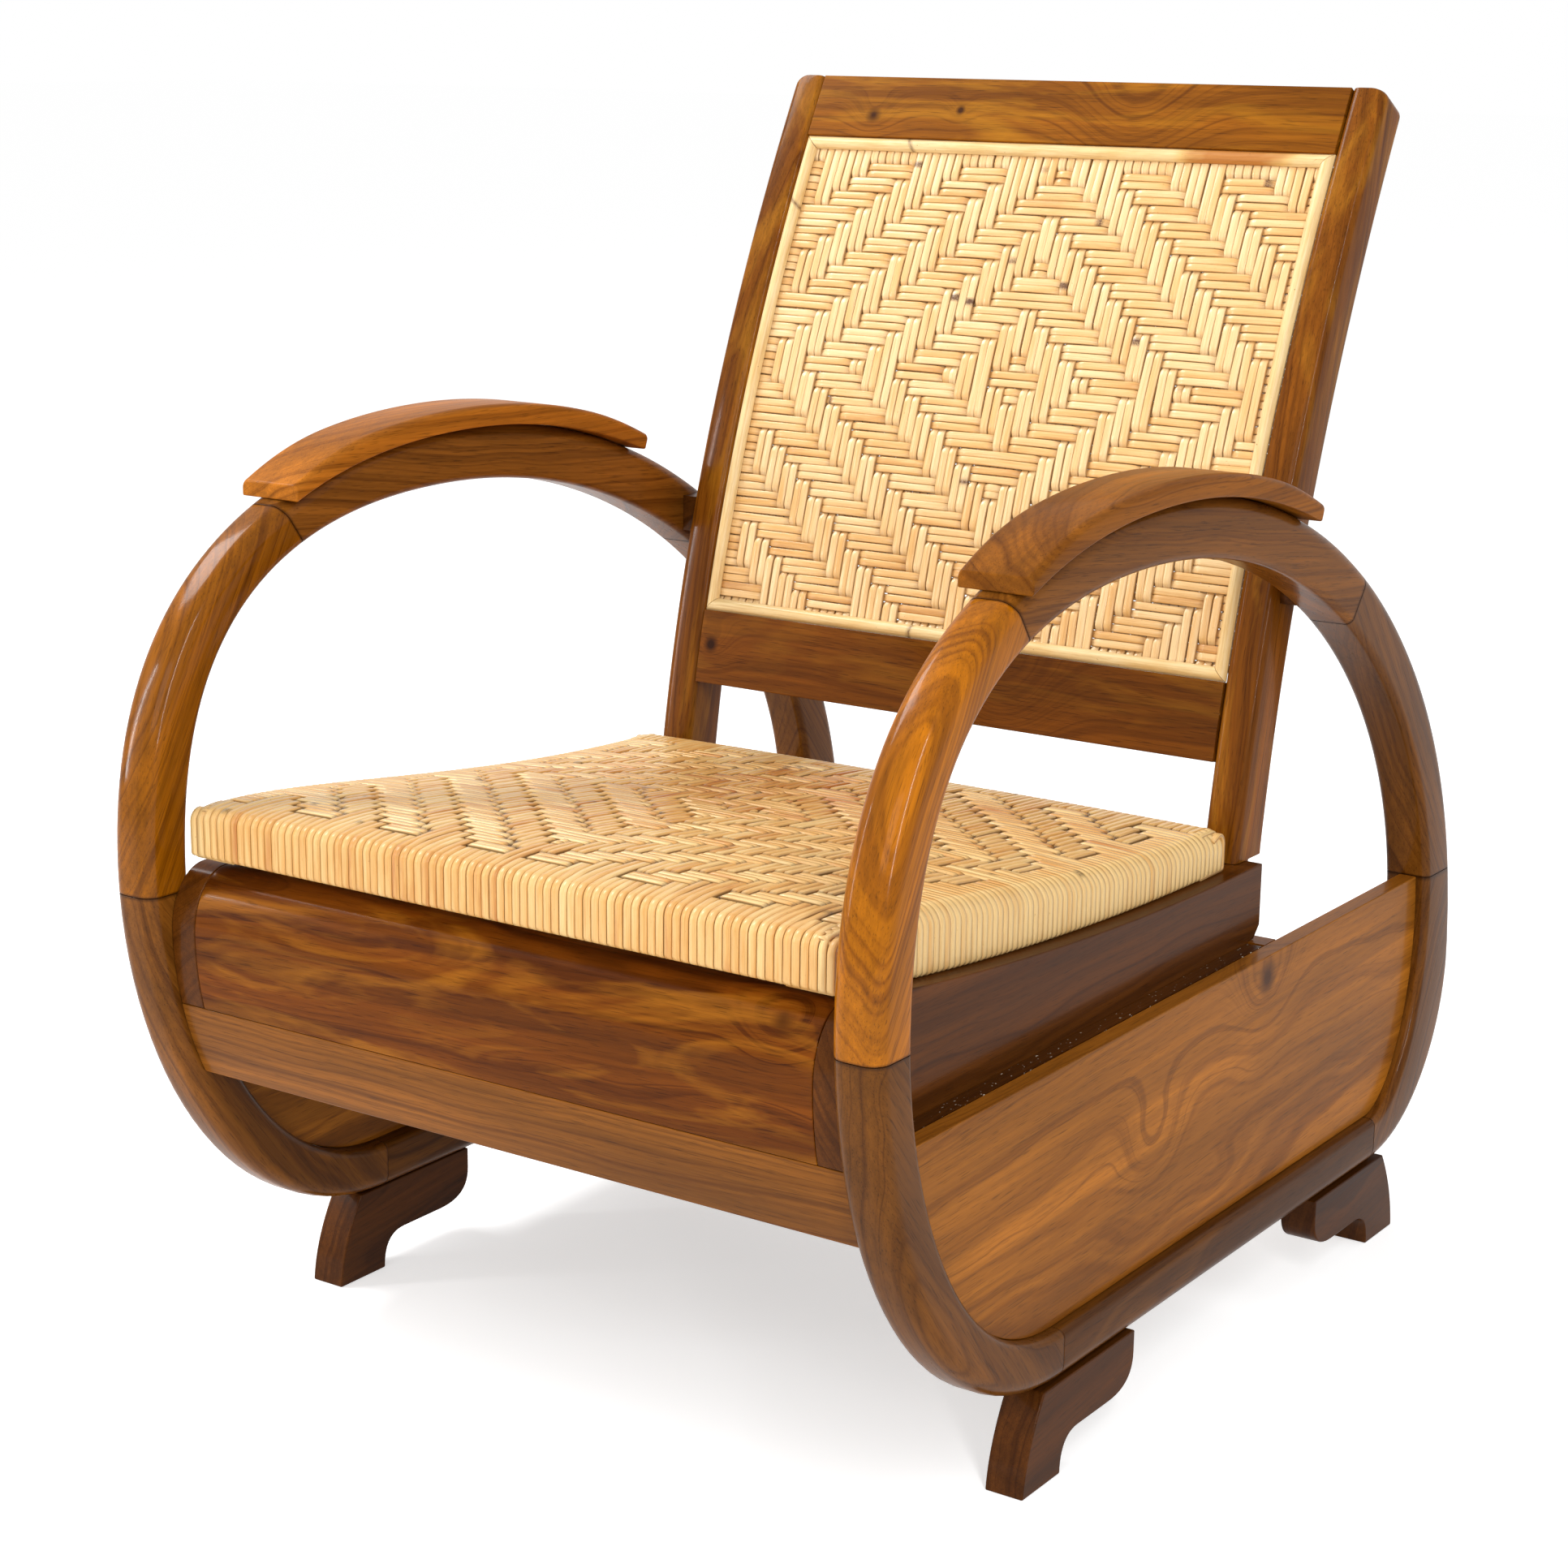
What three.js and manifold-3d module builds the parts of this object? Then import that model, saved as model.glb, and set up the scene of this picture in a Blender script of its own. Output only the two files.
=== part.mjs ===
// Low lounge chair of dark hardwood with a woven rattan seat and back, in millimetres.
// +Z is up, the chair faces -Y, and the origin is on the floor under the middle of the hoops.
// Left and right are the sitter's, so left is +X.
import * as THREE from 'three';
import { mergeVertices } from 'three/addons/utils/BufferGeometryUtils.js';
import Module from 'manifold-3d';

// Hoops: the two side rings. A setback is how far a point lies behind the foremost point.
const chairWidth = 614;
const hoopThickness = 36;
const hoopDepth = 845;
const hoopTopHeight = 625.5;
const hoopBottomHeight = 66.3;
const hoopFrontHeight = 361;
const hoopRearHeight = 202;
const hoopTopSetback = 331;
const bottomRailSetback = 230;
const bottomRailRearInset = 131;
const frontMember = 38;
const topMember = 39;
const rearMember = 54;
const bottomMember = 35.5;
const innerFrontHeight = 358;
const innerTopSetback = 315;
const innerRearHeight = 240;
const outerEdgeRadius = 12;
const innerEdgeRadius = 6;

// Joints of the hoops
const frontJointHeight = 343;
const frontTopJointSetback = 139;
const frontTopJointLean = 36;
const rearTopJointInset = 202;
const rearTopJointLean = -39;
const tenonThickness = 12;
const tenonWidth = 16;
const tenonLength = 20;

// Side panels, the cleats inside them and the level of their tops
const boxLevel = 278;
const panelThickness = 14;
const panelRecess = 9.5;
const cleatHeight = 25;
const cleatFrontInset = 10;
const cleatRearSetback = 546;

// Seat box: side rails, front planks, rear rail and rear cross board
const railThickness = 21;
const railRearSetback = 567;
const railRearHeight = 333;
const railShoulderLength = 40;
const railHeelChamfer = 9;
const boardSetback = 19;
const boardBulgeHeight = 318;
const boardTopRound = 32;
const boardTopHeight = 361;
const boardSeamHeight = 265;
const boardBottomHeight = 211;
const boardBottomSetback = 45;
const boardThickness = 36;
const lowerPlankThickness = 22;
const rearRailThickness = 20;
const rearRailHeight = 48;
const rearRailInset = 5;
const crossBoardSetback = 550;
const crossBoardThickness = 18;
const crossBoardHeight = 60;
const cornerBlockLeg = 36;
const cornerBlockHeight = 34;
const cornerBlockDrop = 12;

// Seat: a rattan-wrapped frame that lifts out. Its top swells over its whole width, most in the
// front third, and domes a little more in its middle.
const seatInset = 12.5;
const seatDepth = 504;
const seatRearSetback = 531;
const seatThickness = 31;
const seatRise = 37;
const seatSwell = 12;
const seatDome = 8.5;
const seatEdgeRadius = 9;
const seatSideRadius = 14;
const wrapThickness = 4.5;
const seatFrameWidth = 34;
const seatFrameHeight = 17.5;

// Back: two bowed posts, two rails, a woven panel and four half-round beads
const postWidth = 28;
const postInset = 13;
const postFootSetback = 542;
const postFootSlope = 0.105;
const backTopSetback = 737;
const backTopHeight = 873;
const postFootDepth = 44;
const postTopDepth = 36;
const postTopRadius = 8;
const postEdgeRadius = 6;
const topRailHeight = 52;
const lowerRailFoot = 403;
const lowerRailHeight = 58;
const backRailThickness = 24;
const backTenonLength = 16;
const backTenonThickness = 10;
const backTenonShoulder = 8;
const backWeaveThickness = 8;
const backWeaveRecess = 4.5;
const bandWidth = 42.6;
const bandHeight = 37.35;
const bandRelief = 2.5;
const bandMiddleX = 9.7;
const bandMiddleDrop = 240;
const beadWidth = 10;
const beadProud = 0.8;

// Spacer and dowel between each post and its hoop
const spacerLength = 26;
const spacerHeight = 28;
const dowelRadius = 5;
const dowelBite = 10;

// Arm pads
const padWidth = 52;
const padFrontInset = 6;
const padRearSetback = 540;
const padThickness = 15.5;
const padFrontThickness = 10.5;
const padRearThickness = 12.5;
const padTipLength = 80;
const padEdgeRadius = 5;
const padUnderRadius = 1.5;

// Feet
const footThickness = 28;
const footInset = 1;
const frontFootSetback = 208;
const footLength = 122;
const footToe = 49;
const footKick = 25;
const footAnkleHeight = 26;
const footHeelRadius = 22;
const footTailDrop = 16;
const footTailLength = 34;
const footCurveShare = 0.88;

// Clearance between pieces that touch, and the overrun of cuts
const gap = 0.3;
const overrun = 2;

// Handles of the hoops' quarter curves: from the side point, then from the top or bottom point
const outerShares = {
  frontLower: [0.497, 0.607],
  frontUpper: [0.7, 0.6],
  rearUpper: [0.575, 0.519],
  rearLower: [0.552, 0.552],
};
const innerShares = {
  frontLower: [0.489, 0.6],
  frontUpper: [0.62, 0.75],
  rearUpper: [0.512, 0.55],
  rearLower: [0.552, 0.552],
};
const circleShare = 0.552;

// Powers of the seat's swell and dome: both rise from the front and fall to the rear, and the dome
// falls off to the sides
const swellShares = { rise: 0.5, fall: 2 };
const domeShares = { rise: 0.8, fall: 0.6, sides: 3 };

// Steps along the curved pieces
const cornerSteps = 3;
const hoopSteps = { frontLower: 8, frontUpper: 8, top: 12, rearUpper: 10, rearLower: 7 };
const boardSteps = 5;
const postSteps = 9;
const postTopSteps = 3;
const beadSteps = 5;
const backSteps = 6;
const seatSteps = 9;
const seatEdgeSteps = 3;
const seatCrownSteps = 8;
const dowelSides = 10;

// Places worked out from the sizes above
const frontY = -hoopDepth / 2;
const bottomRailLength = hoopDepth - bottomRailSetback - bottomRailRearInset;
const hoopOuter = chairWidth / 2;
const hoopInner = hoopOuter - hoopThickness;
const hoopMiddle = (hoopOuter + hoopInner) / 2;
const panelOuter = hoopOuter - panelRecess;
const panelInner = panelOuter - panelThickness;
const railOuter = hoopInner - gap;
const railInner = railOuter - railThickness;
const postOuter = hoopInner - postInset;
const postInner = postOuter - postWidth;
const railRearY = frontY + railRearSetback;
const seatRearY = frontY + seatRearSetback;
const seatFrontY = seatRearY - seatDepth;
const seatHalf = hoopInner - seatInset;
const bulgeY = frontY + boardSetback;
const boardRearY = bulgeY + boardThickness;
const crossBoardY = frontY + crossBoardSetback;
const railCentreY = frontY + bottomRailSetback + bottomRailLength / 2;
const rearRailY = seatRearY - rearRailInset - rearRailThickness;

const wasm = await Module();
wasm.setup();

// Materials
const teak = (colour) => new THREE.MeshStandardMaterial({ color: colour, roughness: 0.35, metalness: 0 });
const cane = (colour) => new THREE.MeshStandardMaterial({ color: colour, roughness: 0.55, metalness: 0 });
const teakLight = 0x9a6428;
const teakMiddle = 0x7d4e24;
const teakDark = 0x5f3a1c;
const rattan = 0xe9cb8f;
const rattanPale = 0xf0d9ac;

const chair = new THREE.Group();

function addPiece(name, geometry, material) {
  const mesh = new THREE.Mesh(geometry, material);
  mesh.name = name;
  chair.add(mesh);
}

// Solid helpers
function toSolid(geometry) {
  const bare = new THREE.BufferGeometry();
  bare.setAttribute('position', geometry.getAttribute('position').clone());
  if (geometry.index) {
    bare.setIndex(geometry.index.clone());
  }
  const merged = mergeVertices(bare);
  return new wasm.Manifold(new wasm.Mesh({
    numProp: 3,
    vertProperties: Float32Array.from(merged.getAttribute('position').array),
    triVerts: Uint32Array.from(merged.index.array),
  }));
}

function toGeometry(solid) {
  const mesh = solid.getMesh();
  const geometry = new THREE.BufferGeometry();
  geometry.setAttribute('position', new THREE.BufferAttribute(Float32Array.from(mesh.vertProperties), 3));
  geometry.setIndex(Array.from(mesh.triVerts));
  return geometry;
}

function cut(geometry, ...tools) {
  return toGeometry(tools.reduce((solid, tool) => solid.subtract(toSolid(tool)), toSolid(geometry)));
}

function join(geometry, ...others) {
  return toGeometry(others.reduce((solid, other) => solid.add(toSolid(other)), toSolid(geometry)));
}

// The same piece for the other side of the chair
function mirrored(geometry, x = -1, y = 1) {
  const copy = geometry.clone().scale(x, y, 1);
  const count = copy.getAttribute('position').count;
  const index = copy.index ? Array.from(copy.index.array) : Array.from({ length: count }, (_, k) => k);
  for (let i = 0; i < index.length; i += 3) {
    [index[i], index[i + 1]] = [index[i + 1], index[i]];
  }
  copy.setIndex(index);
  return copy;
}

function addPair(name, geometry, colour) {
  addPiece(`${name}_left`, geometry, colour());
  addPiece(`${name}_right`, mirrored(geometry), colour());
}

// A box between two x, two y and two z values
function box(x, y, z) {
  const geometry = new THREE.BoxGeometry(x[1] - x[0], y[1] - y[0], z[1] - z[0]);
  return geometry.translate((x[0] + x[1]) / 2, (y[0] + y[1]) / 2, (z[0] + z[1]) / 2);
}

// A side view, drawn in y and z, made as thick as the two x values say
const sideways = new THREE.Matrix4().makeBasis(
  new THREE.Vector3(0, 1, 0), new THREE.Vector3(0, 0, 1), new THREE.Vector3(1, 0, 0));

function plate(points, x) {
  const shape = points instanceof THREE.Shape ? points : new THREE.Shape(points);
  const depth = x[1] - x[0];
  const geometry = new THREE.ExtrudeGeometry(shape, { depth, bevelEnabled: false, curveSegments: 5 });
  return geometry.applyMatrix4(sideways).translate(x[0], 0, 0);
}

const across = (half) => [-half, half];

// A round peg along x
function peg(radius, x, y, z) {
  const geometry = new THREE.CylinderGeometry(radius, radius, x[1] - x[0], dowelSides);
  return geometry.rotateZ(Math.PI / 2).translate((x[0] + x[1]) / 2, y, z);
}

// Rings of points joined into one closed body, with a flat lid on each end
function loft(rings) {
  const size = rings[0].length;
  const points = rings.flat();
  const index = [];
  for (let ring = 0; ring + 1 < rings.length; ring += 1) {
    for (let k = 0; k < size; k += 1) {
      const a = ring * size + k;
      const b = ring * size + (k + 1) % size;
      index.push(a, b, b + size, a, b + size, a + size);
    }
  }
  const last = (rings.length - 1) * size;
  for (let k = 1; k + 1 < size; k += 1) {
    index.push(0, k + 1, k);
    index.push(last, last + k, last + k + 1);
  }
  const geometry = new THREE.BufferGeometry().setFromPoints(points);
  geometry.setIndex(signedVolume(points, index) > 0 ? index : index.reverse());
  return geometry;
}

function signedVolume(points, index) {
  let total = 0;
  for (let i = 0; i < index.length; i += 3) {
    const [a, b, c] = [points[index[i]], points[index[i + 1]], points[index[i + 2]]];
    total += a.dot(new THREE.Vector3().crossVectors(b, c));
  }
  return total;
}

// A rectangle with round corners as pairs of across and along, with along from 0 to the length
function roundedSection(width, length, nearRadius, farRadius) {
  const corners = [
    [width / 2 - farRadius, length - farRadius, farRadius],
    [farRadius - width / 2, length - farRadius, farRadius],
    [nearRadius - width / 2, nearRadius, nearRadius],
    [width / 2 - nearRadius, nearRadius, nearRadius],
  ];
  const pairs = [];
  corners.forEach(([side, along, radius], turn) => {
    for (let step = 0; step <= cornerSteps; step += 1) {
      const angle = (turn + step / cornerSteps) * Math.PI / 2;
      pairs.push([side + radius * Math.cos(angle), along + radius * Math.sin(angle)]);
    }
  });
  return pairs;
}

function evenly(from, to, steps) {
  return Array.from({ length: steps + 1 }, (_, k) => from + (to - from) * k / steps);
}

// Side view of a hoop. A place on an outline is a number: 0 at the front end of the bottom rail,
// 1 at the foremost point, 2 at the top, 3 at the rearmost point and 4 at the rail's rear end.
const [heelPlace, frontPlace, topPlace, rearPlace, calfPlace] = [0, 1, 2, 3, 4];
const at = (setback, height) => new THREE.Vector2(frontY + setback, height);

function quarter(side, end, [sideShare, endShare]) {
  return new THREE.CubicBezierCurve(
    side,
    new THREE.Vector2(side.x, side.y + sideShare * (end.y - side.y)),
    new THREE.Vector2(end.x + endShare * (side.x - end.x), end.y),
    end,
  );
}

function outline(front, top, rear, bottom, shares) {
  const bottomFront = at(bottomRailSetback, bottom);
  const bottomRear = at(bottomRailSetback + bottomRailLength, bottom);
  const quarters = [
    quarter(front, bottomFront, shares.frontLower),
    quarter(front, top, shares.frontUpper),
    quarter(rear, top, shares.rearUpper),
    quarter(rear, bottomRear, shares.rearLower),
  ];
  return (place) => {
    const turn = Math.min(Math.floor(place), quarters.length - 1);
    const along = place - turn;
    return quarters[turn].getPoint(turn % 2 === 0 ? 1 - along : along);
  };
}

const outer = outline(
  at(0, hoopFrontHeight),
  at(hoopTopSetback, hoopTopHeight),
  at(hoopDepth, hoopRearHeight),
  hoopBottomHeight,
  outerShares,
);
const inner = outline(
  at(frontMember, innerFrontHeight),
  at(innerTopSetback, hoopTopHeight - topMember),
  at(hoopDepth - rearMember, innerRearHeight),
  hoopBottomHeight + bottomMember,
  innerShares,
);

// A point beside an outline, on its hollow side
function beside(curve, place, distance) {
  const stepShare = 0.002;
  const ahead = curve(Math.min(place + stepShare, calfPlace));
  const behind = curve(Math.max(place - stepShare, heelPlace));
  const tangent = ahead.sub(behind).normalize();
  return curve(place).add(new THREE.Vector2(tangent.y, -tangent.x).multiplyScalar(distance));
}

// The place between two others where a curve crosses a line through a point
function crossing(curve, from, to, point, direction) {
  const side = (place) => Math.sign(new THREE.Vector2().subVectors(curve(place), point).cross(direction));
  let [low, high] = [from, to];
  const start = side(low);
  for (let halving = 0; halving < 40; halving += 1) {
    const middle = (low + high) / 2;
    if (side(middle) === start) {
      low = middle;
    } else {
      high = middle;
    }
  }
  return (low + high) / 2;
}

const level = new THREE.Vector2(1, 0);
const upright = new THREE.Vector2(0, 1);
const leaning = (degrees) => {
  const angle = THREE.MathUtils.degToRad(degrees);
  return new THREE.Vector2(Math.sin(angle), -Math.cos(angle));
};
const outerAt = (setback) => crossing(outer, frontPlace, rearPlace, at(setback, 0), upright);

// A seam is where a straight saw cut crosses both outlines; its cheeks stand half a gap off the cut.
// Each is a pair of places, one on the outer outline and one on the inner.
function seam(from, to, point, direction) {
  const normal = new THREE.Vector2(-direction.y, direction.x).normalize();
  const cheek = (offset) => {
    const shifted = point.clone().addScaledVector(normal, offset);
    return [outer, inner].map((curve) => crossing(curve, from, to, shifted, direction));
  };
  const cheeks = [cheek(-gap / 2), cheek(gap / 2)].sort((a, b) => a[0] - b[0]);
  return { before: cheeks[0], middle: cheek(0), after: cheeks[1] };
}

const railEnd = (place) => ({ before: [place, place], middle: [place, place], after: [place, place] });

const seams = {
  heel: railEnd(heelPlace),
  front: seam(heelPlace, topPlace, at(0, frontJointHeight), level),
  frontTop: seam(
    frontPlace, topPlace, outer(outerAt(frontTopJointSetback)), leaning(frontTopJointLean)),
  rearTop: seam(
    topPlace, rearPlace, outer(outerAt(hoopDepth - rearTopJointInset)), leaning(rearTopJointLean)),
  rear: seam(topPlace, calfPlace, at(0, boxLevel), level),
  calf: railEnd(calfPlace),
};

// A ring round a hoop's section between a point of each outline
function hoopRing(outerPoint, innerPoint) {
  const out = new THREE.Vector2().subVectors(outerPoint, innerPoint);
  const length = out.length();
  out.normalize();
  return roundedSection(hoopThickness, length, innerEdgeRadius, outerEdgeRadius).map(([side, along]) =>
    new THREE.Vector3(hoopMiddle + side, innerPoint.x + out.x * along, innerPoint.y + out.y * along));
}

function hoopMember(start, end, steps) {
  const outerPlaces = evenly(start[0], end[0], steps);
  const innerPlaces = evenly(start[1], end[1], steps);
  return loft(outerPlaces.map((place, k) => hoopRing(outer(place), inner(innerPlaces[k]))));
}

function bottomRail() {
  const setbacks = [bottomRailSetback + gap, bottomRailSetback + bottomRailLength - gap];
  return loft(setbacks.map((setback) => hoopRing(
    at(setback, hoopBottomHeight), at(setback, hoopBottomHeight + bottomMember))));
}

// A block across a seam, reaching a length before it and a length after it
function tenon({ middle }, before, after, growth) {
  const [outerPoint, innerPoint] = [outer(middle[0]), inner(middle[1])];
  const centre = new THREE.Vector2().addVectors(outerPoint, innerPoint).multiplyScalar(1 / 2);
  const out = new THREE.Vector2().subVectors(outerPoint, innerPoint);
  const block = box(
    across(tenonThickness / 2 + growth), [-before, after], across(tenonWidth / 2 + growth));
  return block.rotateX(out.angle() - Math.PI / 2).translate(hoopMiddle, centre.x, centre.y);
}

// Each hoop member carries the tenon of the seam that it starts from and the mortise of the next
function jointed(member, start, end) {
  return cut(
    join(member, tenon(start, tenonLength, tenonLength, 0)),
    tenon(end, tenonLength + gap, overrun, gap),
  );
}

const hoop = {
  frontLower: hoopMember(seams.heel.after, seams.front.before, hoopSteps.frontLower),
  frontUpper: hoopMember(seams.front.after, seams.frontTop.before, hoopSteps.frontUpper),
  top: hoopMember(seams.frontTop.after, seams.rearTop.before, hoopSteps.top),
  rearUpper: hoopMember(seams.rearTop.after, seams.rear.before, hoopSteps.rearUpper),
  rearLower: hoopMember(seams.rear.after, seams.calf.before, hoopSteps.rearLower),
};

// The back's front face is a bow from the foot of the posts to their tops
const backFoot = at(postFootSetback, boxLevel + gap);
const backTop = at(backTopSetback, backTopHeight);
const backRise = backTop.y - backFoot.y;
const backBow = new THREE.QuadraticBezierCurve(
  backFoot,
  new THREE.Vector2(backFoot.x + postFootSlope * backRise / 2, backFoot.y + backRise / 2),
  backTop,
);
const backLength = backBow.getLength();
const backAt = (height) => backLength * crossing(
  (share) => backBow.getPointAt(share), 0, 1, new THREE.Vector2(0, height), level);

// A point at a distance up the bow and a depth behind its front face
function onBack(distance, depth) {
  const share = distance / backLength;
  const tangent = backBow.getTangentAt(share);
  return backBow.getPointAt(share).add(new THREE.Vector2(tangent.y, -tangent.x).multiplyScalar(depth));
}

// Dowels that hold the posts to the hoops through the spacers, and the bores that they sit in.
// They are where a hoop's middle line crosses the middle line of a post, seen from the side.
const hoopCentre = (place) => outer(place).add(inner(place)).multiplyScalar(1 / 2);
const postToHoop = (place) => {
  const centre = hoopCentre(place);
  return centre.clone().setX(centre.x - onBack(backAt(centre.y), postFootDepth / 2).x);
};
const spacerCentre = hoopCentre(crossing(postToHoop, topPlace, rearPlace, new THREE.Vector2(), upright));
const [spacerY, spacerLevel] = [spacerCentre.x, spacerCentre.y];
const postDowelX = [postOuter - dowelBite, hoopInner + dowelBite];
const postBore = peg(dowelRadius + gap, [postDowelX[0] - gap, postDowelX[1] + gap], spacerY, spacerLevel);

// Dowels up from the feet into the hoops
const footOuterX = hoopOuter - footInset;
const footX = [footOuterX - footThickness, footOuterX];
const footDowelX = (footX[0] + footX[1]) / 2;
const footTop = hoopBottomHeight - gap;
const frontFootY = frontY + frontFootSetback;
const footDowelY = frontFootY + footLength / 2;

function uprightPeg(radius, y, z) {
  const geometry = new THREE.CylinderGeometry(radius, radius, z[1] - z[0], dowelSides);
  return geometry.rotateX(Math.PI / 2).translate(footDowelX, y, (z[0] + z[1]) / 2);
}

const footDowelZ = [footTop - dowelBite, hoopBottomHeight + dowelBite];
const footBoreZ = [footDowelZ[0] - gap, footDowelZ[1] + gap];
const footDowelYs = [footDowelY, 2 * railCentreY - footDowelY];
const footBores = footDowelYs.map((y) => uprightPeg(dowelRadius + gap, y, footBoreZ));

function addHoops() {
  const middleWood = () => teak(teakMiddle);
  const lightWood = () => teak(teakLight);
  addPair('hoop_front_lower', jointed(hoop.frontLower, seams.heel, seams.front), middleWood);
  addPair('hoop_front_upper', jointed(hoop.frontUpper, seams.front, seams.frontTop), lightWood);
  addPair('hoop_top', cut(jointed(hoop.top, seams.frontTop, seams.rearTop), postBore), middleWood);
  addPair('hoop_rear_upper', cut(jointed(hoop.rearUpper, seams.rearTop, seams.rear), postBore), middleWood);
  addPair('hoop_rear_lower', jointed(hoop.rearLower, seams.rear, seams.calf), middleWood);
  addPair('hoop_bottom_rail', cut(jointed(bottomRail(), seams.calf, seams.heel), ...footBores), middleWood);
}

// Side panels follow the hollow of the hoops, and the cleats inside them carry the side rails
function sidePanel() {
  const hollow = (start, end, steps) =>
    evenly(start[1], end[1], steps).map((place) => beside(inner, place, gap));
  const front = hollow(seams.heel.after, seams.front.before, hoopSteps.frontLower);
  const rear = hollow(seams.rear.after, seams.calf.before, hoopSteps.rearLower);
  const above = front.findIndex((point) => point.y > boxLevel);
  const [low, high] = [front[above - 1], front[above]];
  const corner = low.clone().lerp(high, (boxLevel - low.y) / (high.y - low.y));
  rear[0].y = boxLevel;
  return plate([...front.slice(0, above), corner, ...rear], [panelInner, panelOuter]);
}

function cleat() {
  const bottom = boxLevel - cleatHeight;
  const front = [bottom, boxLevel].map((height) =>
    beside(inner, crossing(inner, heelPlace, frontPlace, at(0, height), level), cleatFrontInset));
  const frontCleatY = Math.max(...front.map((point) => point.x));
  return box([hoopInner, panelInner - gap], [frontCleatY, frontY + cleatRearSetback], [bottom, boxLevel]);
}

// The curve that the seat rests on: lowest at the rear, rising to the front
const seatLow = (y) => railRearHeight + gap + seatRise * ((seatRearY - y) / seatDepth) ** 2;

// Side view of the planks at the front: a bulge that turns in at the top and tapers down
const bulge = new THREE.Vector2(bulgeY, boardBulgeHeight);
const boardCurve = new THREE.QuadraticBezierCurve(
  bulge,
  new THREE.Vector2(bulgeY, (boardBulgeHeight + boardBottomHeight) / 2),
  at(boardBottomSetback, boardBottomHeight),
);
const boardTop = new THREE.Vector2(bulgeY + boardTopRound, boardTopHeight);
const boardTopCurve = new THREE.CubicBezierCurve(
  bulge,
  new THREE.Vector2(bulge.x, bulge.y + circleShare * (boardTop.y - bulge.y)),
  new THREE.Vector2(boardTop.x + circleShare * (bulge.x - boardTop.x), boardTop.y),
  boardTop,
);

const boardShare = (height) => crossing(
  (share) => boardCurve.getPoint(share), 0, 1, new THREE.Vector2(0, height), level);

// The front face of the planks from one height up to the top, as points
function boardFront(bottom) {
  const from = boardShare(bottom);
  const lower = evenly(from, 0, boardSteps).map((share) => boardCurve.getPoint(share));
  const upper = evenly(0, 1, boardSteps).slice(1).map((share) => boardTopCurve.getPoint(share));
  return [...lower, ...upper];
}

function sideRail() {
  const bottom = boardSeamHeight + gap;
  const shoulderY = railRearY - railShoulderLength;
  const restY = seatRearY - seatDepth * Math.sqrt((boardTopHeight - railRearHeight) / seatRise);
  const top = evenly(restY, Math.min(seatRearY, shoulderY), seatSteps)
    .map((y) => new THREE.Vector2(y, seatLow(y) - gap));
  const heelLevel = boxLevel + gap;
  return plate([
    ...boardFront(bottom),
    ...top,
    new THREE.Vector2(railRearY, railRearHeight),
    new THREE.Vector2(railRearY, heelLevel + railHeelChamfer),
    new THREE.Vector2(railRearY - railHeelChamfer, heelLevel),
    new THREE.Vector2(crossBoardY - gap, heelLevel),
    new THREE.Vector2(crossBoardY - gap, bottom),
  ], [railInner, railOuter]);
}

function upperPlank() {
  return plate([
    ...boardFront(boardSeamHeight + gap),
    new THREE.Vector2(boardRearY, boardTopHeight),
    new THREE.Vector2(boardRearY, boardSeamHeight + gap),
  ], across(railInner - gap));
}

function lowerPlank() {
  const front = boardFront(boardBottomHeight).filter((point) => point.y < boardSeamHeight);
  const bottom = front[0];
  return plate([
    ...front,
    boardCurve.getPoint(boardShare(boardSeamHeight)),
    new THREE.Vector2(boardRearY, boardSeamHeight),
    new THREE.Vector2(bottom.x + lowerPlankThickness, bottom.y),
  ], across(railOuter));
}

// A three-sided block in the corner between a side rail and a cross piece
function cornerBlock(y, direction, top) {
  const corner = railInner - gap;
  const shape = new THREE.Shape([
    new THREE.Vector2(corner, y),
    new THREE.Vector2(corner - cornerBlockLeg, y),
    new THREE.Vector2(corner, y + direction * cornerBlockLeg),
  ]);
  const geometry = new THREE.ExtrudeGeometry(shape, { depth: cornerBlockHeight, bevelEnabled: false });
  return geometry.translate(0, 0, top - cornerBlockHeight);
}

function addSeatBox() {
  addPair('side_panel', sidePanel(), () => teak(teakMiddle));
  addPair('side_cleat', cleat(), () => teak(teakDark));
  addPair('seat_side_rail', sideRail(), () => teak(teakMiddle));
  addPiece('front_plank_upper', upperPlank(), teak(teakMiddle));
  addPiece('front_plank_lower', lowerPlank(), teak(teakMiddle));
  const rearRailTop = railRearHeight;
  addPiece('seat_rear_rail', box(
    across(railInner - gap),
    [rearRailY, rearRailY + rearRailThickness],
    [rearRailTop - rearRailHeight, rearRailTop],
  ), teak(teakDark));
  addPiece('rear_cross_board', box(
    across(panelInner - gap),
    [crossBoardY, crossBoardY + crossBoardThickness],
    [boxLevel - crossBoardHeight, boxLevel],
  ), teak(teakDark));
  const blockTop = railRearHeight - cornerBlockDrop;
  addPair('corner_block_front', cornerBlock(boardRearY + gap, 1, blockTop), () => teak(teakDark));
  addPair('corner_block_rear', cornerBlock(rearRailY - gap, -1, blockTop), () => teak(teakDark));
}

// A rise along the seat, one at its highest
function seatRiseAt(y, { rise, fall }) {
  const shape = (share) => share ** rise * (1 - share) ** fall;
  return shape((y - seatFrontY) / seatDepth) / shape(rise / (rise + fall));
}

const seatSwellAt = (y) => seatSwell * seatRiseAt(y, swellShares);
const seatDomeAt = (x, y) =>
  seatDome * seatRiseAt(y, domeShares) * (1 - Math.abs(x / seatHalf) ** domeShares.sides);

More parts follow.
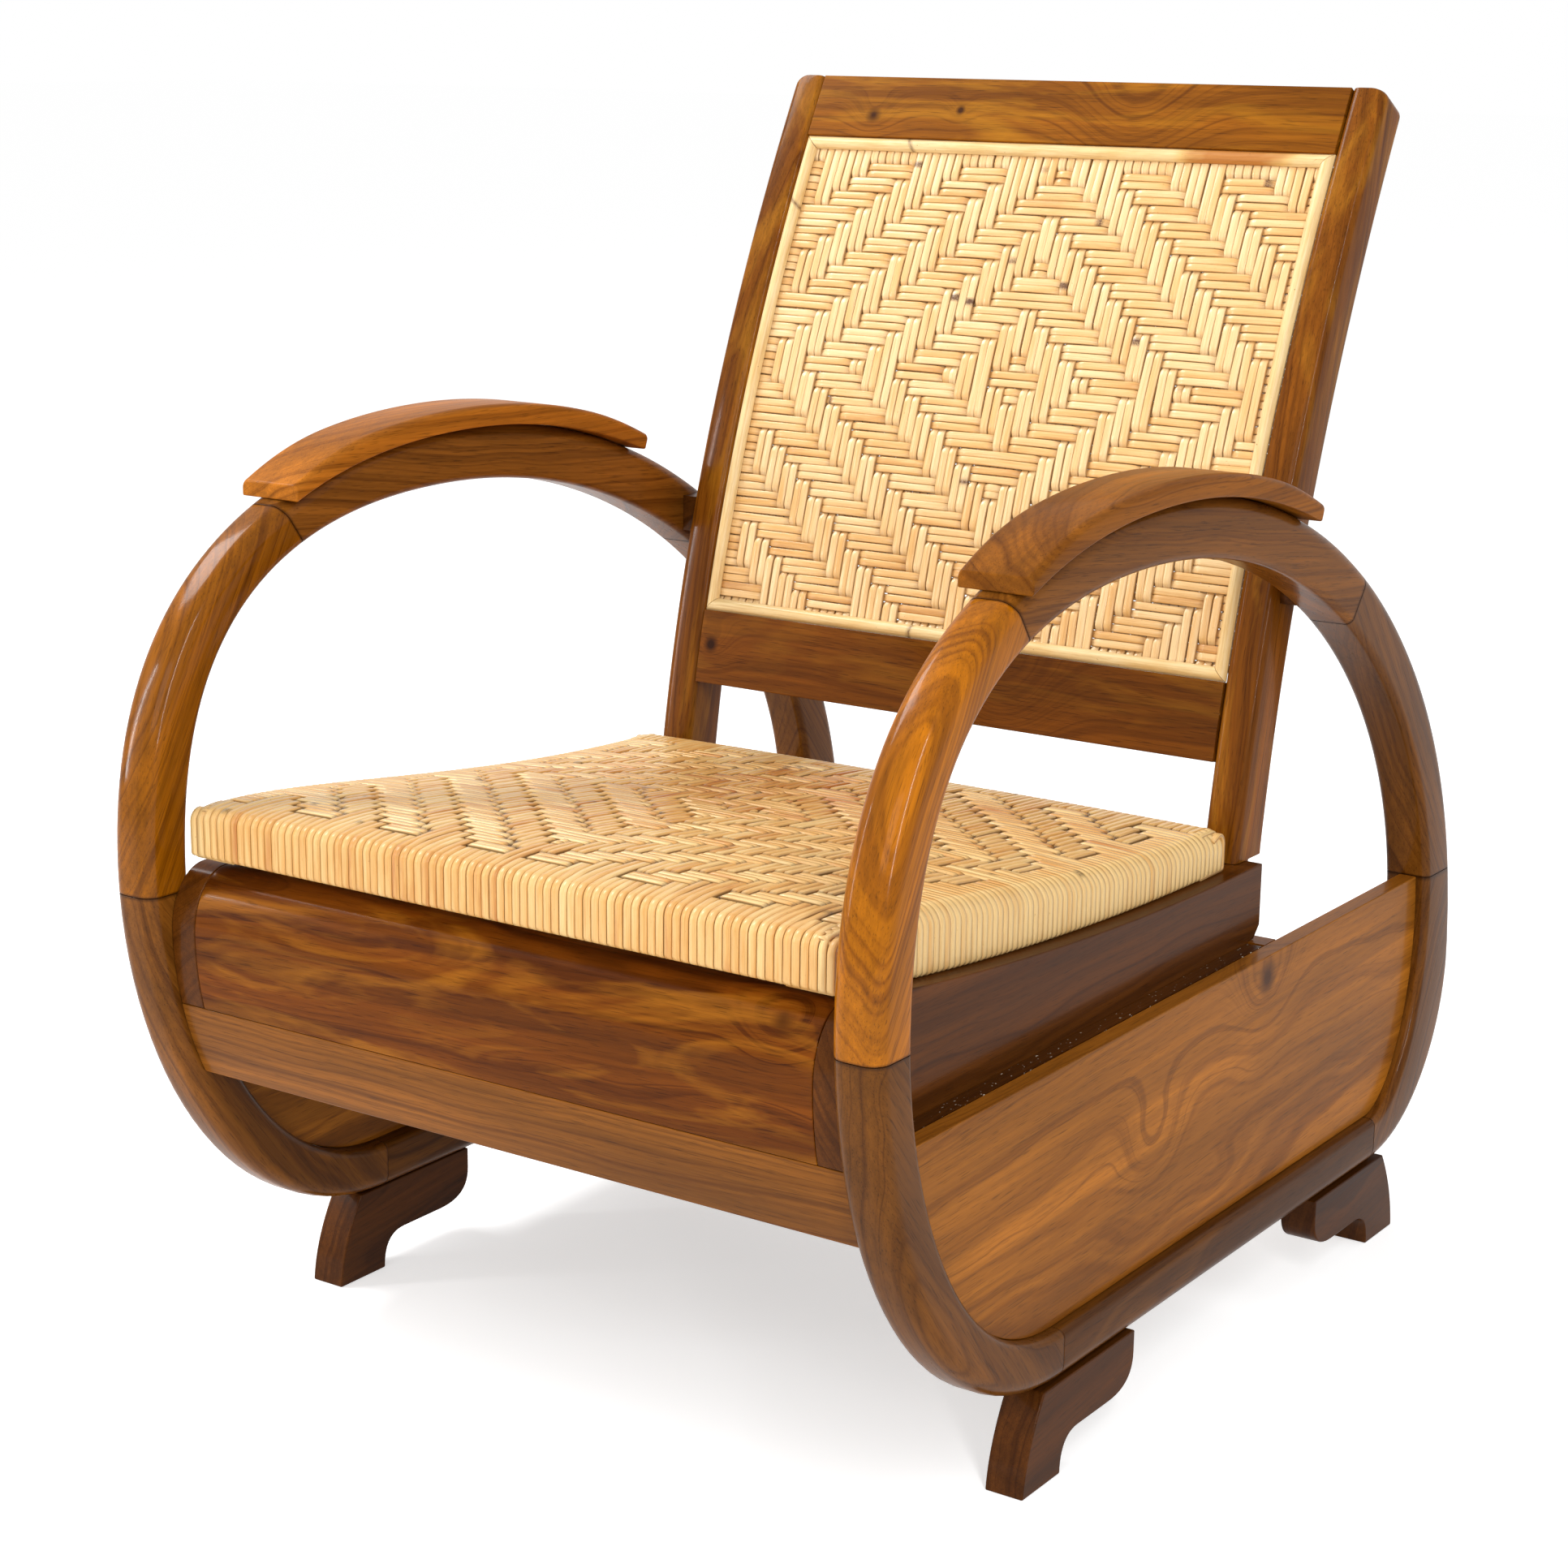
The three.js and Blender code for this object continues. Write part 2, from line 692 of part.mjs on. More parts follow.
// Seat pieces are bands that follow the seat's curve, from a height over its underside to a height
// over its underside and swell
function seatBand(x, frontInset, rearInset, low, high) {
  const ys = evenly(seatFrontY + frontInset, seatRearY - rearInset, seatSteps);
  const under = ys.map((y) => new THREE.Vector2(y, seatLow(y) + low));
  const over = ys.map((y) => new THREE.Vector2(y, seatLow(y) + seatSwellAt(y) + high));
  return plate([...under, ...over.reverse()], x);
}

// The seat's outer form, or a form that lies a distance inside it, as rings from front to rear
function seatRing(y, inset, drop) {
  const half = seatHalf - inset;
  const radius = seatSideRadius - inset;
  const low = seatLow(y) + inset;
  const top = (x) => seatLow(y) + seatThickness - inset - drop + seatSwellAt(y) + seatDomeAt(x, y);
  const corner = evenly(0, Math.PI / 2, seatEdgeSteps).map((angle) => {
    const x = half - radius * (1 - Math.cos(angle));
    return [x, top(x) - radius * (1 - Math.sin(angle))];
  });
  const across = evenly(half - radius, radius - half, seatCrownSteps).slice(1, -1).map((x) => [x, top(x)]);
  const leftCorner = corner.map(([x, z]) => [-x, z]).reverse();
  const section = [[half, low], ...corner, ...across, ...leftCorner, [-half, low]];
  return section.map(([x, z]) => new THREE.Vector3(x, y, z));
}

function seatForm(inset) {
  const radius = seatEdgeRadius - inset;
  const turns = evenly(0, Math.PI / 2, seatEdgeSteps)
    .map((angle) => [radius * (1 - Math.cos(angle)), radius * (1 - Math.sin(angle))]);
  const [front, rear] = [seatFrontY + inset, seatRearY - inset];
  const middle = evenly(front + radius, rear - radius, seatSteps).slice(1, -1);
  return loft([
    ...turns.map(([step, drop]) => seatRing(front + step, inset, drop)),
    ...middle.map((y) => seatRing(y, inset, 0)),
    ...turns.reverse().map(([step, drop]) => seatRing(rear - step, inset, drop)),
  ]);
}

function addSeat() {
  const frameHalf = seatHalf - wrapThickness - gap;
  const frameInset = wrapThickness + gap;
  const frameLow = wrapThickness + gap;
  const frameHigh = frameLow + seatFrameHeight;
  const openHalf = frameHalf - seatFrameWidth;
  const openInset = frameInset + seatFrameWidth;
  const skin = cut(
    seatForm(0),
    seatForm(wrapThickness),
    seatBand(
      across(seatHalf - wrapThickness), wrapThickness, wrapThickness,
      wrapThickness, frameHigh + gap),
    seatBand(across(openHalf), openInset, openInset, -overrun, seatThickness / 2),
  );
  addPiece('seat_weave', skin, cane(rattan));
  const frameSide = seatBand([openHalf, frameHalf], frameInset, frameInset, frameLow, frameHigh);
  addPair('seat_frame_side', frameSide, () => teak(teakDark));
  const crossHalf = openHalf - gap;
  const frontBar = seatBand(across(crossHalf), frameInset, seatDepth - openInset, frameLow, frameHigh);
  const rearBar = seatBand(across(crossHalf), seatDepth - openInset, frameInset, frameLow, frameHigh);
  addPiece('seat_frame_front', frontBar, teak(teakDark));
  addPiece('seat_frame_rear', rearBar, teak(teakDark));
}

function backBand(from, to, front, depth, x) {
  const distances = evenly(from, to, backSteps);
  const face = distances.map((distance) => onBack(distance, front));
  const behind = distances.map((distance) => onBack(distance, front + depth));
  return plate([...face, ...behind.reverse()], x);
}

const lowerRail = [backAt(lowerRailFoot), backAt(lowerRailFoot) + lowerRailHeight];
const topRail = [backLength - topRailHeight, backLength];
const opening = [lowerRail[1] + gap, topRail[0] - gap];
const railTenonDepth = (backRailThickness - backTenonThickness) / 2;

function railTenon([low, high], reach, growth) {
  return backBand(
    low + backTenonShoulder - growth, high - backTenonShoulder + growth,
    railTenonDepth - growth, backTenonThickness + 2 * growth,
    across(postInner + reach));
}

function backRail(range) {
  return join(
    backBand(range[0], range[1], 0, backRailThickness, across(postInner - gap)),
    railTenon(range, backTenonLength, 0),
  );
}

function post() {
  const bend = backLength - postTopRadius;
  const turns = evenly(0, Math.PI / 2, postTopSteps).slice(1);
  const distances = evenly(0, bend, postSteps);
  distances.push(...turns.map((turn) => bend + postTopRadius * Math.sin(turn)));
  const rings = distances.map((distance) => {
    const above = Math.max(0, distance - bend);
    const width = postWidth - postTopRadius + Math.sqrt(Math.max(0, postTopRadius ** 2 - above ** 2));
    const depth = postFootDepth + (postTopDepth - postFootDepth) * distance / backLength;
    return roundedSection(width, depth, postEdgeRadius, postEdgeRadius).map(([side, along]) => {
      const point = onBack(distance, along);
      return new THREE.Vector3(postInner + width / 2 + side, point.x, point.y);
    });
  });
  // The outer half ends on the side rail; the inner half runs down inside it to the cross board
  const around = [backFoot.x - postFootDepth, backFoot.x + 2 * postFootDepth];
  const below = backFoot.y - postFootDepth;
  const overRail = box([railInner - gap, postOuter + overrun], around, [below, railRearHeight + gap]);
  const overBoard = box([postInner - overrun, postOuter + overrun], around, [below, backFoot.y]);
  return cut(
    loft(rings),
    overRail,
    overBoard,
    railTenon(lowerRail, backTenonLength + gap, gap),
    railTenon(topRail, backTenonLength + gap, gap),
    postBore,
  );
}

// Half-round beads: two run up the bow and two across it, with mitred ends.
// The section is pairs of inset from the opening's edge and height above the weave.
const beadDepth = backWeaveRecess + beadProud - gap;
const beadX = postInner - gap;
const beadSection = evenly(0, Math.PI, beadSteps).map((angle) => [
  beadWidth / 2 * (1 - Math.cos(angle)),
  beadDepth * Math.sin(angle),
]);

function sideBead() {
  const rings = evenly(0, 1, backSteps).map((share) => beadSection.map(([inset, height]) => {
    const low = opening[0] + gap + inset;
    const high = opening[1] - gap - inset;
    const point = onBack(low + (high - low) * share, backWeaveRecess - gap - height);
    return new THREE.Vector3(beadX - inset, point.x, point.y);
  }));
  return loft(rings);
}

function crossBead(edge, direction) {
  const rings = [-1, 1].map((end) => beadSection.map(([inset, height]) => {
    const point = onBack(edge + direction * inset, backWeaveRecess - gap - height);
    return new THREE.Vector3(end * (beadX - inset - gap), point.x, point.y);
  }));
  return loft(rings);
}

// The weave of the back is a sheet on the bow. Its long floats lie in bands, as diamonds round one
// middle point, and both of its faces dip where one band ends and the next begins.
function bandPlaces(from, to, middle, step) {
  const first = Math.ceil((from - middle) / step);
  const last = Math.floor((to - middle) / step);
  const within = evenly(middle + first * step, middle + last * step, last - first)
    .filter((place) => Math.min(place - from, to - place) > step / 4);
  return [from, ...within, to];
}

function wovenSheet() {
  const middle = backLength - bandMiddleDrop;
  const xs = bandPlaces(gap - postInner, postInner - gap, bandMiddleX, bandWidth / 2);
  const distances = bandPlaces(opening[0], opening[1], middle, bandHeight / 2);
  const dip = (x, distance) => {
    const bands = Math.abs(x - bandMiddleX) / bandWidth + Math.abs(distance - middle) / bandHeight;
    return bandRelief * (1 - Math.abs(1 - 2 * (bands % 1)));
  };
  const layer = (depthAt) => distances.flatMap((distance) => xs.map((x) => {
    const point = onBack(distance, depthAt(dip(x, distance)));
    return new THREE.Vector3(x, point.x, point.y);
  }));
  const points = [
    ...layer((depth) => backWeaveRecess + depth),
    ...layer((depth) => backWeaveRecess + backWeaveThickness - depth),
  ];
  const size = xs.length;
  const rear = size * distances.length;
  const index = [];
  for (let row = 0; row + 1 < distances.length; row += 1) {
    for (let column = 0; column + 1 < size; column += 1) {
      const a = row * size + column;
      const [b, c, d] = [a + 1, a + size, a + size + 1];
      const side = Math.sign(xs[column] + xs[column + 1] - 2 * bandMiddleX);
      const rise = Math.sign(distances[row] + distances[row + 1] - 2 * middle);
      const faces = side === rise ? [a, b, c, b, d, c] : [a, b, d, a, d, c];
      index.push(...faces, ...faces.map((corner) => corner + rear).reverse());
    }
  }
  const rows = distances.map((_, row) => row * size);
  const columns = xs.map((_, column) => column);
  const around = [
    ...columns.slice(0, -1),
    ...rows.slice(0, -1).map((start) => start + size - 1),
    ...columns.slice(1).reverse().map((column) => rear - size + column),
    ...rows.slice(1).reverse(),
  ];
  around.forEach((corner, k) => {
    const next = around[(k + 1) % around.length];
    index.push(next, corner, corner + rear, next, corner + rear, next + rear);
  });
  const geometry = new THREE.BufferGeometry().setFromPoints(points);
  geometry.setIndex(signedVolume(points, index) > 0 ? index : index.reverse());
  return geometry;
}

function addBack() {
  addPair('back_post', post(), () => teak(teakMiddle));
  addPiece('back_lower_rail', backRail(lowerRail), teak(teakMiddle));
  addPiece('back_top_rail', backRail(topRail), teak(teakMiddle));
  addPiece('back_weave', wovenSheet(), cane(rattan));
  addPair('bead_side', sideBead(), () => cane(rattanPale));
  addPiece('bead_bottom', crossBead(opening[0], 1), cane(rattanPale));
  addPiece('bead_top', crossBead(opening[1], -1), cane(rattanPale));
  const spacer = box(
    [postOuter + gap, hoopInner - gap],
    [spacerY - spacerLength / 2, spacerY + spacerLength / 2],
    [spacerLevel - spacerHeight / 2, spacerLevel + spacerHeight / 2],
  );
  addPair('arm_spacer', cut(spacer, postBore), () => teak(teakDark));
  addPair('post_dowel', peg(dowelRadius, postDowelX, spacerY, spacerLevel), () => teak(teakLight));
}

// Arm pads lie on the hoops' tops, thin at both tips. A step along a pad is a facet of the hoop.
const topPlaces = evenly(seams.frontTop.after[0], seams.rearTop.before[0], hoopSteps.top);

function onHoopTop(step, rise) {
  const facet = Math.min(Math.floor(step), hoopSteps.top - 1);
  const [near, far] = [topPlaces[facet], topPlaces[facet + 1]].map((place) => beside(outer, place, -rise));
  return near.lerp(far, step - facet);
}

function padRing(step, height) {
  return roundedSection(padWidth, height, padUnderRadius, padEdgeRadius).map(([side, rise]) => {
    const point = onHoopTop(step, gap + rise);
    return new THREE.Vector3(hoopMiddle + side, point.x, point.y);
  });
}

// The front end of a pad is sawn upright
function armPad() {
  const reach = (step) => onHoopTop(step, gap);
  const last = crossing(reach, 0, hoopSteps.top, at(padRearSetback, 0), upright);
  const steps = evenly(0, Math.floor(last), 2 * Math.floor(last));
  const [start, end] = [reach(0), reach(last)];
  const pad = loft([...steps, last].map((step) => {
    const point = reach(step);
    const swell = (tip, thickness) => {
      const near = Math.min(1, point.distanceTo(tip) / padTipLength);
      return thickness + (padThickness - thickness) * Math.sin(near * Math.PI / 2);
    };
    return padRing(step, Math.min(swell(start, padFrontThickness), swell(end, padRearThickness)));
  }));
  const ahead = [start.x - padTipLength, start.x + padFrontInset];
  return cut(pad, box([0, chairWidth], ahead, [0, hoopTopHeight]));
}

// Feet: an ogee bracket with its toe forward, and its mirror image at the rear
function footShape() {
  const top = footTop;
  const toe = frontFootY - footKick;
  const tail = frontFootY + footLength;
  const shape = new THREE.Shape();
  shape.moveTo(toe, 0);
  shape.lineTo(toe + footToe, 0);
  shape.quadraticCurveTo(toe + footToe, footAnkleHeight, toe + footToe + footHeelRadius, footAnkleHeight);
  shape.lineTo(tail - footTailLength, footAnkleHeight);
  shape.quadraticCurveTo(tail, footAnkleHeight, tail, top - footTailDrop);
  shape.lineTo(tail, top);
  shape.lineTo(frontFootY, top);
  shape.quadraticCurveTo(frontFootY - footKick * footCurveShare, top / 2, toe, 0);
  return shape;
}

function addFeet() {
  const toRear = (geometry) => mirrored(geometry, 1, -1).translate(0, 2 * railCentreY, 0);
  const foot = cut(plate(footShape(), footX), footBores[0]);
  const dowel = uprightPeg(dowelRadius, footDowelY, footDowelZ);
  addPair('foot_front', foot, () => teak(teakDark));
  addPair('foot_rear', toRear(foot), () => teak(teakDark));
  addPair('foot_dowel_front', dowel, () => teak(teakLight));
  addPair('foot_dowel_rear', toRear(dowel), () => teak(teakLight));
}

addHoops();
addSeatBox();
addSeat();
addBack();
addPair('arm_pad', armPad(), () => teak(teakMiddle));
addFeet();

export default chair;
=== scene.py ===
# Low lounge chair with round hoop sides and a woven rattan seat and back, dressed over its CAD frame.
import math

import bpy
import numpy as np
from mathutils import Matrix, Vector


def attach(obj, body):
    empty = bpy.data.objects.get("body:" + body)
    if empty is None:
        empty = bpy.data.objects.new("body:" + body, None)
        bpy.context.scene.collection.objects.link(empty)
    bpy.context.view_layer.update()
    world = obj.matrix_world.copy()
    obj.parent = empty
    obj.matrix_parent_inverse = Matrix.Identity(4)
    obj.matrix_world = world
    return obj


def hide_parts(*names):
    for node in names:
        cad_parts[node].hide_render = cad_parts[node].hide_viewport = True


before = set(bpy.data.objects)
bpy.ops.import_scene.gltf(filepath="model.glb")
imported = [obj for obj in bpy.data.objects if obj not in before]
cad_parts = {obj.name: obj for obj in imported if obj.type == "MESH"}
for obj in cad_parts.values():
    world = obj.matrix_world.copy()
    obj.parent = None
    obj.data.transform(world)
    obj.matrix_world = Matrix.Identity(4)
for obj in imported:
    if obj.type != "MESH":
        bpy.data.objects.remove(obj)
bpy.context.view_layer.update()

MM = 0.001
rng = np.random.default_rng(7)

# Sizes from the part's source, in millimetres. A setback is a distance behind the hoops' front.
GAP = 0.3
FRONT_Y = -422.5
HOOP_MIDDLE = 289.0
HOOP_THICKNESS = 36.0
HOOP_DEPTH = 845.0
# The flat part at the hoops' bottom
RAIL_SETBACK, RAIL_END_SETBACK = 230.0, 714.0
FLAT_BOTTOM, FLAT_TOP = 66.3, 101.8
PANEL_INNER, PANEL_OUTER = 283.5, 297.5
PAD_WIDTH, PAD_HEIGHT, PAD_END_SETBACK = 52, 15.5, 540
BOX_LEVEL, BOX_BOTTOM, BOX_TOP = 278.0, 211, 361
BULGE_Y, BULGE_HEIGHT, BULGE_ROUND = -403.5, 318, 32
SEAM_HEIGHT = 265
BOARD_REAR_Y = -367.5
CROSS_BOARD_Y = 127.5
SEAT_RAIL_LENGTH = 567
RAIL_REAR_HEIGHT = 333.0
RAIL_OUTER, RAIL_INNER = 270.7, 249.7
SEAT_REAR_Y, SEAT_FRONT_Y = 108.5, -395.5
SEAT_DEPTH, SEAT_HALF = 504.0, 258.5
SEAT_RISE, SEAT_THICKNESS = 37, 31
POST_INNER, POST_WIDTH, POST_ROUND = 230.0, 28, 8
POST_FOOT_DEPTH, POST_TOP_DEPTH = 44, 36
BACK_RAIL_DEPTH = 24
# How far the woven panel lies behind the face of the back's rails
PANEL_DEPTH = 4.5
FOOT_INNER, FOOT_OUTER = 278, 306
FOOT_SETBACK, FOOT_TOP, FOOT_ARCH = 208, 66.0, 26
# The share of a corner that makes a cubic curve a quarter of a circle
ARC = 0.552


# Side views are complex numbers: y is the real part and z the imaginary part
def at(setback, height):
    return complex(FRONT_Y + setback, height)


def cubic(a, b, c, d):
    return lambda t: (1 - t) ** 3 * a + 3 * (1 - t) ** 2 * t * b + 3 * (1 - t) * t * t * c + t ** 3 * d


def quarter(side, end, shares):
    first = complex(side.real, side.imag + shares[0] * (end.imag - side.imag))
    second = complex(end.real + shares[1] * (side.real - end.real), end.imag)
    return cubic(side, first, second, end)


def outline(front, top, rear, bottom, shares):
    low_front, low_rear = at(RAIL_SETBACK, bottom), at(RAIL_END_SETBACK, bottom)
    quarters = [
        quarter(front, low_front, shares[0]),
        quarter(front, top, shares[1]),
        quarter(rear, top, shares[2]),
        quarter(rear, low_rear, shares[3]),
    ]

    def curve(place):
        turn = min(int(place), 3)
        along = place - turn
        return quarters[turn](1 - along if turn % 2 == 0 else along)

    return curve


# The two curves of the hoops, by their front, top, rear and bottom, and how full each quarter is
outer = outline(at(0, 361), at(331, 625.5), at(HOOP_DEPTH, 202), FLAT_BOTTOM,
                [(0.497, 0.607), (0.7, 0.6), (0.575, 0.519), (ARC, ARC)])
inner = outline(at(38, 358), at(315, 586.5), at(HOOP_DEPTH - 54, 240), FLAT_TOP,
                [(0.489, 0.6), (0.62, 0.75), (0.512, 0.55), (ARC, ARC)])


def beside(curve, place, distance):
    tangent = curve(min(place + 0.002, 4)) - curve(max(place - 0.002, 0))
    tangent /= abs(tangent)
    return curve(place) - 1j * tangent * distance


def root(f, low, high):
    start = f(low) > 0
    for _ in range(40):
        middle = (low + high) / 2
        if (f(middle) > 0) == start:
            low = middle
        else:
            high = middle
    return (low + high) / 2


def crossing(curve, low, high, point, direction):
    return root(lambda p: ((curve(p) - point) * direction.conjugate()).imag, low, high)


def leaning(degrees):
    return complex(math.sin(math.radians(degrees)), -math.cos(math.radians(degrees)))


def outer_at(setback):
    return crossing(outer, 1, 3, at(setback, 0), 1j)


def seam(low, high, point, direction):
    normal = 1j * direction
    cheeks = [
        [crossing(curve, low, high, point + normal * offset, direction) for curve in (outer, inner)]
        for offset in (-GAP / 2, GAP / 2)
    ]
    return sorted(cheeks)


# Seams between the hoops' members: for each cheek of the gap, its places on the outer and inner curve
seams = {
    "heel": [[0, 0], [0, 0]],
    "front": seam(0, 2, at(0, 343), 1 + 0j),
    "front_top": seam(1, 2, outer(outer_at(139)), leaning(36)),
    "rear_top": seam(2, 3, outer(outer_at(HOOP_DEPTH - 202)), leaning(-39)),
    "rear": seam(2, 4, at(0, BOX_LEVEL), 1 + 0j),
    "calf": [[4, 4], [4, 4]],
}

# The back's bow, as a table of points and tangents by distance along it
BACK_FOOT, BACK_TOP = at(542, BOX_LEVEL + GAP), at(737, 873)
BACK_RISE = BACK_TOP.imag - BACK_FOOT.imag
BACK_BEND = BACK_FOOT + complex(0.105, 1) * BACK_RISE / 2
bow_t = np.linspace(0, 1, 2001)
bow = (1 - bow_t) ** 2 * BACK_FOOT + 2 * (1 - bow_t) * bow_t * BACK_BEND + bow_t ** 2 * BACK_TOP
bow_tangent = (1 - bow_t) * (BACK_BEND - BACK_FOOT) + bow_t * (BACK_TOP - BACK_BEND)
bow_tangent /= np.abs(bow_tangent)
bow_distance = np.concatenate([[0], np.cumsum(np.abs(np.diff(bow)))])
BACK_LENGTH = bow_distance[-1]


def on_table(distance, table):
    return np.interp(distance, bow_distance, table.real) + 1j * np.interp(distance, bow_distance, table.imag)


def on_back(distance, depth):
    return on_table(distance, bow) - 1j * on_table(distance, bow_tangent) * depth


def back_at(height):
    return np.interp(height, bow.imag, bow_distance)


LOWER_RAIL_HEIGHT, LOWER_RAIL_WIDTH, TOP_RAIL_WIDTH = 403, 58, 52
LOWER_RAIL = (back_at(LOWER_RAIL_HEIGHT), back_at(LOWER_RAIL_HEIGHT) + LOWER_RAIL_WIDTH)
TOP_RAIL = (BACK_LENGTH - TOP_RAIL_WIDTH, BACK_LENGTH)
OPENING = (LOWER_RAIL[1] + GAP, TOP_RAIL[0] - GAP)


def placed(name, data):
    thing = bpy.data.objects.new(name, data)
    bpy.context.scene.collection.objects.link(thing)
    return thing


# Mesh helpers. Points are in millimetres until a mesh is made.
def make(name, points, faces, material, node, slot, body="frame", bevel=0.0, angle=35, extra=None):
    mesh = bpy.data.meshes.new(name)
    mesh.from_pydata((np.asarray(points, float) * MM).tolist(), [], faces)
    volume = 0.0
    for polygon in mesh.polygons:
        volume += polygon.center.dot(polygon.normal) * polygon.area
    if volume < 0:
        mesh.flip_normals()
    mesh.shade_smooth()
    mesh.set_sharp_from_angle(angle=math.radians(angle))
    for key, values in (extra or {}).items():
        kind = "FLOAT_VECTOR" if np.ndim(values) == 2 else "FLOAT"
        data = mesh.attributes.new(key, kind, "POINT").data
        data.foreach_set("vector" if kind == "FLOAT_VECTOR" else "value",
                         np.asarray(values, np.float32).ravel())
    piece = placed(name, mesh)
    mesh.materials.append(material)
    if bevel:
        soften(piece, bevel)
    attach(piece, body)
    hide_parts(node)


def soften(piece, width):
    bevel = piece.modifiers.new("soft_edges", "BEVEL")
    bevel.width = width * MM
    bevel.segments = 2
    bevel.limit_method = "ANGLE"
    bevel.angle_limit = math.radians(50)
    bevel.harden_normals = True


def loft_faces(rings, size):
    faces = []
    for ring in range(rings - 1):
        for k in range(size):
            a, b = ring * size + k, ring * size + (k + 1) % size
            faces.append((a, b, b + size, a + size))
    faces.append(tuple(range(size - 1, -1, -1)))
    faces.append(tuple(range((rings - 1) * size, rings * size)))
    return faces


def loft(name, rings, material, **options):
    points = [point for ring in rings for point in ring]
    make(name, points, loft_faces(len(rings), len(rings[0])), material, **options)


def plate(name, side_view, x, material, **options):
    rings = [[(value, point.real, point.imag) for point in side_view] for value in x]
    loft(name, rings, material, **options)


def rounded_section(width, length, near, far, steps=6):
    """Pairs of sideways and outward, with one radius for the near corners and one for the far ones."""
    corners = [
        (width / 2 - far, length - far, far),
        (far - width / 2, length - far, far),
        (near - width / 2, near, near),
        (width / 2 - near, near, near),
    ]
    pairs = []
    for turn, (side, along, radius) in enumerate(corners):
        for step in range(steps + 1):
            angle = (turn + step / steps) * math.pi / 2
            pairs.append((side + radius * math.cos(angle), along + radius * math.sin(angle)))
    return pairs


def unit(value):
    return np.clip(value, 0, 1)


def evenly(low, high, steps):
    return [low + (high - low) * k / steps for k in range(steps + 1)]


# Materials
def nodes_of(name):
    material = bpy.data.materials.new(name)
    material.use_nodes = True
    tree = material.node_tree
    shader = tree.nodes["Principled BSDF"]
    return material, tree, shader


class Net:
    def __init__(self, tree):
        self.tree = tree

    def add(self, kind, inputs=None, **settings):
        node = self.tree.nodes.new(kind)
        for key, value in settings.items():
            setattr(node, key, value)
        for key, value in (inputs or {}).items():
            if isinstance(value, bpy.types.NodeSocket):
                self.tree.links.new(value, node.inputs[key])
            else:
                node.inputs[key].default_value = value
        return node

    def attribute(self, name, output="Fac"):
        return self.add("ShaderNodeAttribute", attribute_name=name).outputs[output]

    def maths(self, operation, a, b=0.0, clamp=False):
        return self.add("ShaderNodeMath", {0: a, 1: b}, operation=operation, use_clamp=clamp).outputs[0]

    def times(self, a, b, clamp=False):
        return self.maths("MULTIPLY", a, b, clamp)

    def vectors(self, operation, a, b):
        return self.add("ShaderNodeVectorMath", {0: a, 1: b}, operation=operation).outputs[0]

    def noise(self, vector, scale, detail=2.0, rough=0.5, distortion=0.0, output="Fac"):
        return self.add("ShaderNodeTexNoise", {
            "Vector": vector, "Scale": scale, "Detail": detail, "Roughness": rough,
            "Distortion": distortion}).outputs[output]

    def bands(self, place, detail, rough=0.5):
        return self.add("ShaderNodeTexNoise", {
            "W": place, "Scale": 1.0, "Detail": detail, "Roughness": rough},
            noise_dimensions="1D").outputs["Fac"]

    def ramp(self, value, stops):
        node = self.add("ShaderNodeValToRGB", {"Fac": value})
        elements = node.color_ramp.elements
        while len(elements) < len(stops):
            elements.new(0.5)
        for element, (position, colour) in zip(elements, stops):
            element.position = position
            colour = (colour,) * 3 if isinstance(colour, (int, float)) else colour
            element.color = (*colour, 1)
        return node.outputs["Color"]

    def blend(self, kind, share, a, b):
        a, b = ((*value, 1) if isinstance(value, tuple) else value for value in (a, b))
        node = self.add("ShaderNodeMix", {0: share, 6: a, 7: b}, data_type="RGBA", blend_type=kind)
        return node.outputs[2]


def srgb(r, g, b):
    def linear(value):
        value /= 255
        return value / 12.92 if value <= 0.04045 else ((value + 0.055) / 1.055) ** 2.4
    return tuple(linear(value) for value in (r, g, b))


def scaled(colour, by):
    return tuple(min(1.0, value * by) for value in colour)


def surface(net, shader, base, rough, specular, coat, coat_rough, strength, depth, height):
    net.tree.links.new(base, shader.inputs["Base Color"])
    net.tree.links.new(rough, shader.inputs["Roughness"])
    shader.inputs["Specular IOR Level"].default_value = specular
    shader.inputs["Coat Weight"].default_value = coat
    shader.inputs["Coat Roughness"].default_value = coat_rough
    bump = net.add("ShaderNodeBump", {"Strength": strength, "Distance": depth, "Height": height})
    net.tree.links.new(bump.outputs[0], shader.inputs["Normal"])


